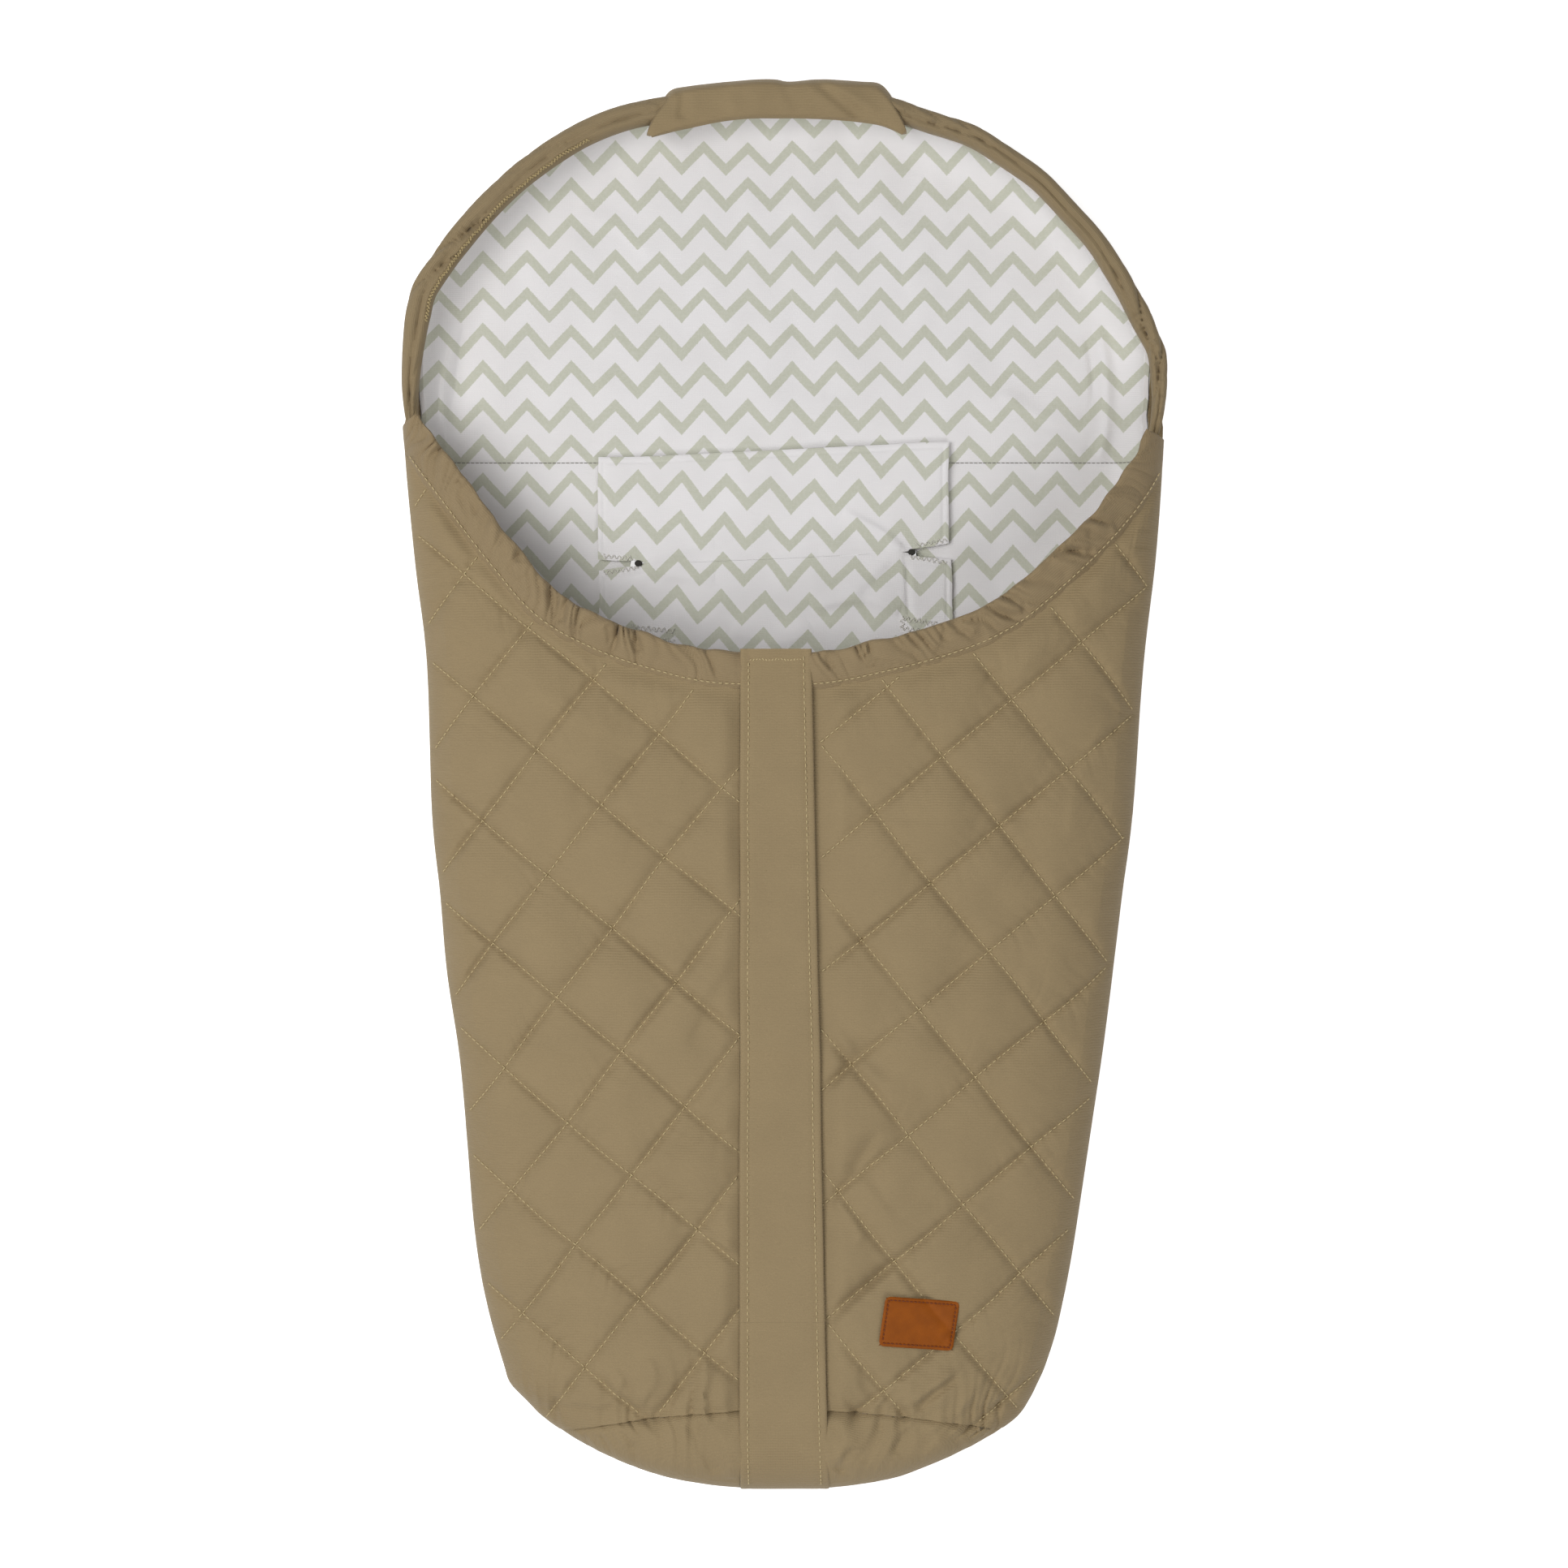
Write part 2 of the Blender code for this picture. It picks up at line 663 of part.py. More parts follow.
def notched(y_low, y_high, notches):
    """A flat piece as wide as the harness flap, drawn in at each notch (y_low, y_high) from both sides."""
    outer = FLAP_HALF_WIDTH
    inner = FLAP_HALF_WIDTH - NOTCH_DEPTH
    right = []
    at = y_low
    for low, high in notches:
        if low > at:
            right += [(outer, at), (outer, low)]
        right += [(inner, max(low, y_low)), (inner, high)]
        at = high
    if at < y_high:
        right += [(outer, at), (outer, y_high)]
    left = [(-x, y) for x, y in right[::-1]]
    return [(FLAP_CENTRE_X + x, y) for x, y in [*right, *left]]


FLAP_LEVEL = BELLY + 3 * GAP + 2 * HOOK_PAD[2]


def make_harness():
    """The panel over the harness slots, the flap above it and the hook and loop pads that hold the flap."""
    half = NOTCH_WIDTH / 2
    top = FLAP_LEVEL + FLAP_THICK
    low_notch = (LOWER_NOTCH_Y - half, LOWER_NOTCH_Y + half)
    high_notch = (FLAP_HINGE_Y - half, FLAP_HINGE_Y - FLAP_HINGE_GAP)
    flap_notch = (FLAP_HINGE_Y + FLAP_HINGE_GAP, FLAP_HINGE_Y + half)
    panel = flat_outline(
        "harness_panel", notched(PANEL_LOW_Y, high_notch[1], (low_notch, high_notch)), BELLY + GAP, top, JERSEY)
    flap = flat_outline(
        "harness_flap", notched(flap_notch[0], FLAP_TOP_Y, (flap_notch,)), FLAP_LEVEL, top, JERSEY)
    pad_y = FLAP_TOP_Y - HOOK_FROM_TOP
    pads = []
    for name, low in (("loop_pad", BELLY + GAP), ("hook_pad", BELLY + 2 * GAP + HOOK_PAD[2])):
        shape = rectangle(
            FLAP_CENTRE_X - HOOK_PAD[0] / 2, FLAP_CENTRE_X + HOOK_PAD[0] / 2,
            pad_y - HOOK_PAD[1] / 2, pad_y + HOOK_PAD[1] / 2)
        pads.append(flat_outline(name, shape, low, low + HOOK_PAD[2], HOOKS))
    return [panel, flap, *pads]


def crease_axis(side):
    """Two points on the lapel's hinge line, which runs just above the cloth along the fold."""
    low_y, high_y = LAPEL_END_Y, crease_high_y()
    low_z = front_z(crease_x(low_y), low_y)
    high_z = front_z(crease_x(high_y), high_y)
    bulge = 0.0
    for i in range(41):
        share = i / 40
        y = low_y + (high_y - low_y) * share
        bulge = max(bulge, front_z(crease_x(y), y) - (low_z + (high_z - low_z) * share))
    rise = bulge + AXIS_RISE
    return (
        Vector((side * crease_x(low_y), low_y, low_z + rise)),
        Vector((side * crease_x(high_y), high_y, high_z + rise)),
    )


def carry(name, place, objects, parent=None):
    """An empty on a joint's axis that carries the objects of one moving piece."""
    empty = bpy.data.objects.new(name, None)
    FOOTMUFF.objects.link(empty)
    empty.location = place
    bpy.context.view_layer.update()
    if parent:
        empty.parent = parent
        empty.matrix_parent_inverse = parent.matrix_world.inverted()
    bpy.context.view_layer.update()
    for obj in objects:
        obj.parent = empty
        obj.matrix_parent_inverse = empty.matrix_world.inverted()
    return empty


def make_plackets():
    """The storm flap over the zip, and the fixed end of it over the toe."""
    low = FRONT_TOP + GAP
    rim = rim_y(PLACKET_LEFT)
    moving = flat_outline(
        "placket", rectangle(-PLACKET_LEFT, PLACKET_RIGHT, ZIP_LOW_Y, rim), low, low + PLACKET_THICK, TAUPE)
    fixed = toe_sheet(
        "placket_toe", TAUPE, -PLACKET_RISE, PLACKET_THICK,
        (TOE_Y - PLACKET_RISE, LAPEL_END_Y - PLACKET_SPLIT), (4, 14), (-PLACKET_LEFT, PLACKET_RIGHT))
    return moving, fixed


def make_toe():
    """The front below the lapels and the gusset under the toe seam, over one wadding and one lining."""
    top = LAPEL_END_Y - CREASE_GAP
    inset = SHELL + GAP
    deep = inset + FRONT_WADDING + FRONT_SLACK
    toe_sheet("toe_front_shell", TAUPE, 0.0, SHELL, (TOE_SEAM_Y + TOE_SEAM_GAP / 2, top), (20, 5))
    toe_sheet("toe_gusset_shell", TAUPE, 0.0, SHELL, (TOE_Y, TOE_SEAM_Y - TOE_SEAM_GAP / 2), (20, 8))
    toe_sheet("toe_wadding", WADDING, inset, FRONT_WADDING, (TOE_Y + inset, top), (20, 12))
    toe_sheet("toe_lining", JERSEY, deep, LINING, (TOE_Y + deep, top), (20, 12))


def build():
    """The whole footmuff, with each moving piece on its own empty."""
    make_back()
    make_hood_rim()
    make_toe()
    make_label()
    panel, flap, loop_pad, hook_pad = make_harness()
    placket, _ = make_plackets()
    halves = {}
    for side, word in ((-1, "left"), (1, "right")):
        made = make_front(side, word)["lapel"] + make_zip(side, word)
        halves[word] = carry(f"lapel_{word}_hinge", crease_axis(side)[0], made)
    carry("placket_hinge", (-PLACKET_LEFT, 0, FRONT_TOP + GAP), [placket], halves["left"])
    slide = carry("slider_slide", (0, SLIDER_Y, ZIP_LEVEL), [make_slider()], halves["left"])
    carry("puller_hinge", (0, SLIDER_Y, PULLER_LEVEL), [make_puller()], slide)
    carry("harness_flap_hinge", (FLAP_CENTRE_X, FLAP_HINGE_Y, FLAP_LEVEL + FLAP_THICK), [flap, hook_pad])


build()
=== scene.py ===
"""Looks of the stroller footmuff: quilted front, gathered rims, printed lining, zip, flaps and label."""

import json
import math

import bmesh
import bpy
import numpy as np
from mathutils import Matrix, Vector, noise


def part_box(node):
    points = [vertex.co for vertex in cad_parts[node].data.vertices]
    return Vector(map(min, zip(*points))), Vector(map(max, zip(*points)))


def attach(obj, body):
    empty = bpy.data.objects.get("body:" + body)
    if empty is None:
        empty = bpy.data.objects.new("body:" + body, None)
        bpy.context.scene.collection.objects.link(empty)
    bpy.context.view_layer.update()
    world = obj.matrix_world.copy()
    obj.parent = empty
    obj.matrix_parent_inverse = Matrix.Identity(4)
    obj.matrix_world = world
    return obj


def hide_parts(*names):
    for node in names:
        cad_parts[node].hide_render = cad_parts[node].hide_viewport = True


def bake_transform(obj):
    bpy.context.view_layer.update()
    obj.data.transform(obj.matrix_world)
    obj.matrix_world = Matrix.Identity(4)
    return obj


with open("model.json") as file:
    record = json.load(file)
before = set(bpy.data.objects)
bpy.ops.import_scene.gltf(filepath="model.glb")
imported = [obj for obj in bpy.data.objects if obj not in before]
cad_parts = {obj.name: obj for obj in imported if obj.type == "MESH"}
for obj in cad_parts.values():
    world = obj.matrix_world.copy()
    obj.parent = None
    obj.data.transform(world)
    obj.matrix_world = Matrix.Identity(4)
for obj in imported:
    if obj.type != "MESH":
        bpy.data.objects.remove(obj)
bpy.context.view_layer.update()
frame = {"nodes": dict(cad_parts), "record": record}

MM = 0.001
TURN = 2 * math.pi

# The photograph looks straight down on the piece; one pixel of it is this long on the footmuff
PIXEL = 0.4611 * MM
PHOTO_X = 966.0
PHOTO_Y = 965.5


def from_photo(px, py):
    """The place on the footmuff, seen from above, of a pixel of the photograph."""
    return (px - PHOTO_X) * PIXEL, (PHOTO_Y - py) * PIXEL


# Edges of the silhouette in the photograph, as pixel rows with the left and right pixel
SILHOUETTE = (
    (112, 905, 1030), (118, 818, 1094), (125, 792, 1104), (140, 745, 1156), (160, 698, 1205),
    (180, 666, 1241), (200, 641, 1270), (230, 606, 1304), (260, 576, 1332), (300, 545, 1365),
    (330, 522, 1384), (360, 505, 1401), (400, 498, 1422), (430, 495, 1435), (490, 496, 1435),
    (520, 497, 1434), (600, 503, 1430), (700, 513, 1422), (820, 527, 1408), (1000, 533, 1395),
    (1100, 543, 1382), (1200, 552, 1370), (1300, 567, 1357), (1400, 576, 1342), (1500, 584, 1327),
    (1560, 592, 1317), (1600, 600, 1309), (1640, 610, 1300), (1680, 622, 1287), (1700, 629, 1278),
    (1720, 648, 1268), (1740, 668, 1254), (1760, 697, 1226), (1780, 733, 1188), (1800, 780, 1143),
    (1815, 829, 1101), (1825, 875, 1044),
)

# Heights and places, from the frame
SEAM_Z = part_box("back_shell")[1].z
FRONT_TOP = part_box("toe_front_shell")[1].z
TOE_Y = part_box("toe_gusset_shell")[0].y
LAPEL_END_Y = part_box("toe_front_shell")[1].y
TOE_SEAM_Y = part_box("toe_gusset_shell")[1].y
PLACKET_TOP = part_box("placket")[1].z
HOOD_SEAM_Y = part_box("hood_lining")[0].y
CASING_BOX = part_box("hood_rim_casing")
HOOD_CORNER_Y = CASING_BOX[0].y
TOE_ROUND = 52 * MM
EDGE_POWER = 3.0


def smooth_line(points, per_span):
    """A smooth curve through the points, as an array of points."""
    p = np.array(points, float)
    last = len(p) - 1
    t = np.linspace(0, 1, per_span, endpoint=False)[:, None]
    out = []
    for i in range(last):
        a, b, c, d = p[max(i - 1, 0)], p[i], p[i + 1], p[min(i + 2, last)]
        square, cube = 2 * a - 5 * b + 4 * c - d, 3 * b - a - 3 * c + d
        out.append(0.5 * (2 * b + (c - a) * t + square * t**2 + cube * t**3))
    out.append(p[-1:])
    return np.concatenate(out)


def run_along(path):
    """Distance along a path, at each of its points."""
    return np.concatenate([[0], np.cumsum(np.linalg.norm(np.diff(path, axis=0), axis=1))])


def evenly(line, count):
    """The line resampled to count points at equal steps."""
    run = run_along(line)
    at = np.linspace(0, run[-1], count)
    return np.stack([np.interp(at, run, column) for column in line.T], axis=1)


def side_edge(column):
    """One edge of the silhouette as (y, distance from the middle), from the toe up."""
    rows = sorted(SILHOUETTE, key=lambda row: -row[0])
    points = []
    for row in rows:
        x, y = from_photo(row[column], row[0])
        points.append((y, abs(x)))
    points[0] = (TOE_Y, points[0][1] * 0.7)
    return smooth_line(points, 6)


EDGES = {-1: side_edge(1), 1: side_edge(2)}
# How far above the back's edge the photograph was taken is an assumption
PHOTO_DISTANCE = 2.2275
CAMERA_Z = SEAM_Z + PHOTO_DISTANCE
TOP_SHRINK = (CAMERA_Z - FRONT_TOP) / (CAMERA_Z - SEAM_Z)


def on_top(px, py):
    """The place on top of the front of a pixel of the photograph, drawn in for its height."""
    x, y = from_photo(px, py)
    return x * TOP_SHRINK, y * TOP_SHRINK


def half_width(side, y):
    """Distance from the middle to the edge on one side (-1 or 1), at y."""
    edge = EDGES[side]
    return np.interp(y, edge[:, 0], edge[:, 1])


def toe_share(y, inset=0.0):
    """Share of its height that the front keeps at y, near the toe."""
    start = TOE_Y + TOE_ROUND
    share = np.clip((start - y) / (TOE_ROUND - inset), 0, 1)
    return (1 - share**EDGE_POWER) ** (1 / EDGE_POWER)


def front_z(x, y, inset=0.0):
    """Height of the front at (x, y), with no relief; inset gives an inner layer."""
    x, y = np.asarray(x, float), np.asarray(y, float)
    wide = np.where(x < 0, half_width(-1, y), half_width(1, y)) - inset
    share = np.clip(np.abs(x) / wide, 0, 1)
    fall = (1 - share**EDGE_POWER) ** (1 / EDGE_POWER)
    return SEAM_Z + (FRONT_TOP - inset - SEAM_Z) * fall * toe_share(y, inset)


def arc_table():
    """How far along the cloth a share of the half width lies, for a middling width."""
    share = np.sin(np.linspace(0, math.pi / 2, 400)) ** (2 / EDGE_POWER)
    z = (FRONT_TOP - SEAM_Z) * (1 - share**EDGE_POWER) ** (1 / EDGE_POWER)
    wide = 190 * MM
    steps = np.hypot(np.diff(share) * wide, np.diff(z))
    return share, np.concatenate([[0], np.cumsum(steps)]) / wide


ARC_SHARE, ARC_RUN = arc_table()


def cloth_x(x, y):
    """Distance along the cloth from the middle line, signed like x."""
    wide = np.where(x < 0, half_width(-1, y), half_width(1, y))
    return np.sign(x) * wide * np.interp(np.abs(x) / wide, ARC_SHARE, ARC_RUN)


# The inner edge of the front rim in the photograph, left to right
RIM_EDGE = (
    (497, 476), (512, 506), (531, 535), (552, 561), (590, 612), (636, 672), (659, 697), (684, 731),
    (720, 748), (767, 772), (815, 785), (860, 799), (885, 803), (911, 802), (960, 803), (1015, 803),
    (1058, 793), (1109, 782), (1151, 770), (1190, 757), (1230, 738), (1262, 712), (1285, 691), (1314, 664),
    (1340, 640), (1362, 612), (1387, 584), (1402, 556), (1418, 520), (1434, 480),
)
RIM_WIDTH = 19.5 * MM
RIM_LINE = evenly(smooth_line([on_top(*p) for p in RIM_EDGE], 10), 600)


def line_normals(line):
    """Unit normals to the left of a line's direction."""
    along = np.gradient(line, axis=0)
    along /= np.linalg.norm(along, axis=1)[:, None]
    return np.stack([-along[:, 1], along[:, 0]], axis=1)


def softened(values, width):
    """The values averaged over a window of that many samples."""
    kernel = np.ones(width) / width
    padded = np.pad(values, ((width // 2, width - 1 - width // 2), (0, 0)), mode="edge")
    return np.stack([np.convolve(column, kernel, "valid") for column in padded.T], axis=1)


RIM_SMOOTH = softened(RIM_LINE, 41)
RIM_NORMAL = line_normals(RIM_SMOOTH)
RIM_SEAM = RIM_SMOOTH - RIM_NORMAL * RIM_WIDTH


def seam_y(x):
    """Where the quilting meets the rim band, as y at x."""
    order = np.argsort(RIM_SEAM[:, 0])
    return np.interp(x, RIM_SEAM[order, 0], RIM_SEAM[order, 1])


# The harness slots: the frame's openings give where they are, and this is how far each reaches
OPENINGS = frame["record"]["physics"]["openings"]
SLOTS = [opening["box_m"] for opening in OPENINGS if opening["name"].startswith("slot")]
SLOT_REACH = (22 * MM, 5 * MM)


def slot_boxes():
    """Each slot's low and high x and y."""
    boxes = []
    for low, high in SLOTS:
        x, y = (low[0] + high[0]) / 2, (low[1] + high[1]) / 2
        boxes.append((x - SLOT_REACH[0], x + SLOT_REACH[0], y - SLOT_REACH[1], y + SLOT_REACH[1]))
    return boxes


def cut_cells(outer, inner):
    """Which cells of a grid lie in a slot; the points round each slot are moved onto its edge."""
    cut = np.zeros((outer.shape[0] - 1, outer.shape[1] - 1), bool)
    middle = (outer[:-1, :-1] + outer[1:, 1:] + outer[1:, :-1] + outer[:-1, 1:]) / 4
    for x0, x1, y0, y1 in slot_boxes():
        inside = (middle[..., 0] > x0) & (middle[..., 0] < x1) & (middle[..., 1] > y0) & (middle[..., 1] < y1)
        cut |= inside
        around = np.zeros(outer.shape[:2], int)
        for i, j in ((0, 0), (0, 1), (1, 0), (1, 1)):
            around[i:i + inside.shape[0], j:j + inside.shape[1]] += inside
        for i, j in np.argwhere((around > 0) & (around < 4)):
            px, py = outer[i, j, :2]
            gaps = {abs(px - edge): (0, edge) for edge in (x0, x1)}
            gaps.update({abs(py - edge): (1, edge) for edge in (y0, y1)})
            axis, value = gaps[min(gaps)]
            outer[i, j, axis] = value
            inner[i, j, :2] = outer[i, j, :2]
    return cut


def new_object(name, data):
    """A mesh, lamp or camera as a new object in the scene."""
    obj = bpy.data.objects.new(name, data)
    bpy.context.scene.collection.objects.link(obj)
    return obj


def write_cloth(mesh, flat):
    """Keeps each point's place on the cloth in the mesh, where the materials read it."""
    layer = mesh.uv_layers.get("cloth") or mesh.uv_layers.new(name="cloth")
    loops = np.zeros(len(mesh.loops), np.int64)
    mesh.loops.foreach_get("vertex_index", loops)
    layer.data.foreach_set("uv", flat.reshape(-1, 2)[loops].astype(np.float32).ravel())


def cloth_mesh(name, x, y, z, flat, thickness, materials, inner=None, slotted=False):
    """A closed sheet from grids of places: an outer face, an inner face under it, and the edges between.

    flat holds each point's place on the cloth, which the weave and the print follow. Without a thickness,
    inner gives the inner face's places. slotted cuts the harness slots."""
    rows, cols = x.shape
    outer = np.stack([x, y, z], axis=-1)
    if inner is None:
        du = np.gradient(outer, axis=1)
        dv = np.gradient(outer, axis=0)
        normal = np.cross(du, dv)
        normal /= np.maximum(np.linalg.norm(normal, axis=-1), 1e-12)[..., None]
        inner = outer - normal * thickness
    cut = cut_cells(outer, inner) if slotted else np.zeros((rows - 1, cols - 1), bool)
    verts = np.concatenate([outer.reshape(-1, 3), inner.reshape(-1, 3)])
    index = np.arange(rows * cols).reshape(rows, cols)
    a, b, c, d = index[:-1, :-1], index[:-1, 1:], index[1:, 1:], index[1:, :-1]
    top = np.stack([a, b, c, d], axis=-1)[~cut]
    low = top[:, ::-1] + rows * cols
    fenced = np.pad(~cut, 1)
    walls = []
    for first, second, di, dj in ((a, b, -1, 0), (b, c, 0, 1), (c, d, 1, 0), (d, a, 0, -1)):
        beside = fenced[1 + di:1 + di + cut.shape[0], 1 + dj:1 + dj + cut.shape[1]]
        edge = ~cut & ~beside
        walls.append(np.stack([first, second], axis=-1)[edge])
    border, after = np.concatenate(walls).T
    rim = np.stack([border + rows * cols, after + rows * cols, after, border], axis=-1)
    faces = np.concatenate([top, low, rim])
    mesh = bpy.data.meshes.new(name)
    mesh.from_pydata(verts.tolist(), [], faces.tolist())
    write_cloth(mesh, np.concatenate([flat.reshape(-1, 2)] * 2))
    for finish in materials:
        mesh.materials.append(finish)
    if len(materials) > 1:
        slots = np.zeros(len(faces), np.int32)
        slots[len(top): len(top) + len(low)] = 1
        mesh.polygons.foreach_set("material_index", slots)
    mesh.shade_smooth()
    mesh.set_sharp_from_angle(angle=math.radians(60))
    return new_object(name, mesh)


def ring_mesh(name, verts, run, finish):
    """A closed skin through rings of points, capped at both ends; the cloth runs along run."""
    count, around = verts.shape[:2]
    index = np.arange(count * around).reshape(count, around)
    after = np.roll(index, -1, axis=1)
    faces = np.stack([index[:-1], after[:-1], after[1:], index[1:]], axis=-1).reshape(-1, 4).tolist()
    faces.append(index[0, ::-1].tolist())
    faces.append(index[-1].tolist())
    mesh = bpy.data.meshes.new(name)
    mesh.from_pydata(verts.reshape(-1, 3).tolist(), [], faces)
    bm = bmesh.new()
    bm.from_mesh(mesh)
    bmesh.ops.recalc_face_normals(bm, faces=bm.faces)
    bm.to_mesh(mesh)
    bm.free()
    steps = np.linalg.norm(np.diff(verts, axis=1), axis=-1)
    girth = np.concatenate([np.zeros((count, 1)), np.cumsum(steps, axis=1)], axis=1)
    write_cloth(mesh, np.stack([run, girth], axis=-1))
    mesh.materials.append(finish)
    mesh.shade_smooth()
    mesh.set_sharp_from_angle(angle=math.radians(75))
    return new_object(name, mesh)


def wander(x, y, size, seed):
    """Smooth noise from about -1 to 1 over places, with lumps of about that size."""
    flat_x, flat_y = np.asarray(x).ravel() / size, np.asarray(y).ravel() / size
    values = [noise.noise(Vector((a, b, seed))) for a, b in zip(flat_x, flat_y)]
    return np.array(values).reshape(np.asarray(x).shape) * 1.6


# Materials
MOTTLE = 0.1


def srgb(red, green, blue):
    """A colour given as 0-255 screen values, as the linear values the shader needs."""
    out = []
    for value in (red, green, blue):
        v = value / 255
        out.append(v / 12.92 if v <= 0.04045 else ((v + 0.055) / 1.055) ** 2.4)
    return (*out, 1.0)


def new_material(name):
    """An empty material with its principled shader."""
    mat = bpy.data.materials.new(name)
    mat.use_nodes = True
    return mat, mat.node_tree.nodes, mat.node_tree.links, mat.node_tree.nodes["Principled BSDF"]


def math_node(nodes, links, operation, first, second=None, third=None, clamp=False):
    """A maths node on sockets or numbers, giving its result socket."""
    node = nodes.new("ShaderNodeMath")
    node.operation = operation
    node.use_clamp = clamp
    for slot, value in enumerate((first, second, third)):
        if value is None:
            continue
        if isinstance(value, (int, float)):
            node.inputs[slot].default_value = value
        else:
            links.new(value, node.inputs[slot])
    return node.outputs[0]


def cloth_place(nodes, links):
    """The place on the cloth, in millimetres, as x and y sockets and as a vector."""
    source = nodes.new("ShaderNodeUVMap")
    source.uv_map = "cloth"
    scale = nodes.new("ShaderNodeVectorMath")
    scale.operation = "SCALE"
    scale.inputs["Scale"].default_value = 1 / MM
    links.new(source.outputs["UV"], scale.inputs[0])
    split = nodes.new("ShaderNodeSeparateXYZ")
    links.new(scale.outputs[0], split.inputs[0])
    return split.outputs["X"], split.outputs["Y"], scale.outputs[0]


def noise_on(nodes, links, vector, size, detail=2.0):
    """A noise value with lumps of about size millimetres."""
    node = nodes.new("ShaderNodeTexNoise")
    node.inputs["Scale"].default_value = 1 / size
    node.inputs["Detail"].default_value = detail
    node.inputs["Roughness"].default_value = 0.5
    links.new(vector, node.inputs["Vector"])
    return node.outputs["Fac"]


def mix_colour(nodes, links, share, first, second):
    """A mix of two colours or colour sockets."""
    node = nodes.new("ShaderNodeMix")
    node.data_type = "RGBA"
    links.new(share, node.inputs["Factor"])
    for name, value in (("A", first), ("B", second)):
        socket = next(s for s in node.inputs if s.name == name and s.type == "RGBA")
        if isinstance(value, tuple):
            socket.default_value = value
        else:
            links.new(value, socket)
    return next(s for s in node.outputs if s.type == "RGBA")


def bump_on(nodes, links, shader, height, distance, strength):
    """Fine relief too small for the mesh, in metres."""
    node = nodes.new("ShaderNodeBump")
    node.inputs["Distance"].default_value = distance
    node.inputs["Strength"].default_value = strength
    links.new(height, node.inputs["Height"])
    links.new(node.outputs["Normal"], shader.inputs["Normal"])


def woven(name, colour, ribs=1.5):
    """A matt woven cloth: fine cross ribs, a little mottle, faint nap."""
    mat, nodes, links, shader = new_material(name)
    x, y, place = cloth_place(nodes, links)
    coarse = noise_on(nodes, links, place, 26.0, 3.0)
    fine = noise_on(nodes, links, place, 0.9, 2.0)
    specks = math_node(nodes, links, "MULTIPLY_ADD", fine, 0.9, -0.3)
    share = math_node(nodes, links, "MULTIPLY_ADD", coarse, 0.7, specks)
    dark = tuple(v * (1 - MOTTLE) for v in colour[:3]) + (1.0,)
    light = tuple(min(v * (1 + MOTTLE), 1.0) for v in colour[:3]) + (1.0,)
    links.new(mix_colour(nodes, links, share, dark, light), shader.inputs["Base Color"])
    wobble = noise_on(nodes, links, place, 9.0, 1.0)
    sway = math_node(nodes, links, "MULTIPLY", wobble, 5.0)
    warp = math_node(nodes, links, "SINE", math_node(nodes, links, "MULTIPLY_ADD", y, TURN / ribs, sway))
    weft = math_node(nodes, links, "SINE", math_node(nodes, links, "MULTIPLY", x, TURN / (ribs * 0.45)))
    weave = math_node(nodes, links, "MULTIPLY_ADD", weft, 0.35, warp)
    relief = math_node(nodes, links, "MULTIPLY_ADD", fine, 1.6, weave)
    bump_on(nodes, links, shader, relief, 0.00012, 0.55)
    shader.inputs["Roughness"].default_value = 0.82
    shader.inputs["Specular IOR Level"].default_value = 0.25
    shader.inputs["Sheen Weight"].default_value = 0.12
    shader.inputs["Sheen Roughness"].default_value = 0.45
    return mat


def plain(name, colour, roughness, metallic=0.0, grain=0.0):
    """A plain finish whose shade varies a little."""
    mat, nodes, links, shader = new_material(name)
    place = nodes.new("ShaderNodeTexCoord").outputs["Object"]
    spots = noise_on(nodes, links, place, 0.0009, 2.0)
    shade = math_node(nodes, links, "MULTIPLY_ADD", spots, grain, 1 - grain / 2)
    node = nodes.new("ShaderNodeMix")
    node.data_type = "RGBA"
    node.blend_type = "MULTIPLY"
    node.inputs["Factor"].default_value = 1.0
    sockets = [s for s in node.inputs if s.type == "RGBA"]
    sockets[0].default_value = colour
    links.new(shade, sockets[1])
    links.new(next(s for s in node.outputs if s.type == "RGBA"), shader.inputs["Base Color"])
    shader.inputs["Roughness"].default_value = roughness
    shader.inputs["Metallic"].default_value = metallic
    return mat


# The zigzag print on the lining, in millimetres on the cloth
ZIGZAG_PERIOD = 25.1
ZIGZAG_PITCH = 20.9
ZIGZAG_RISE = 13.4
ZIGZAG_BAND = 7.2
PRINT_SHIFT = (4.6, 6.8)


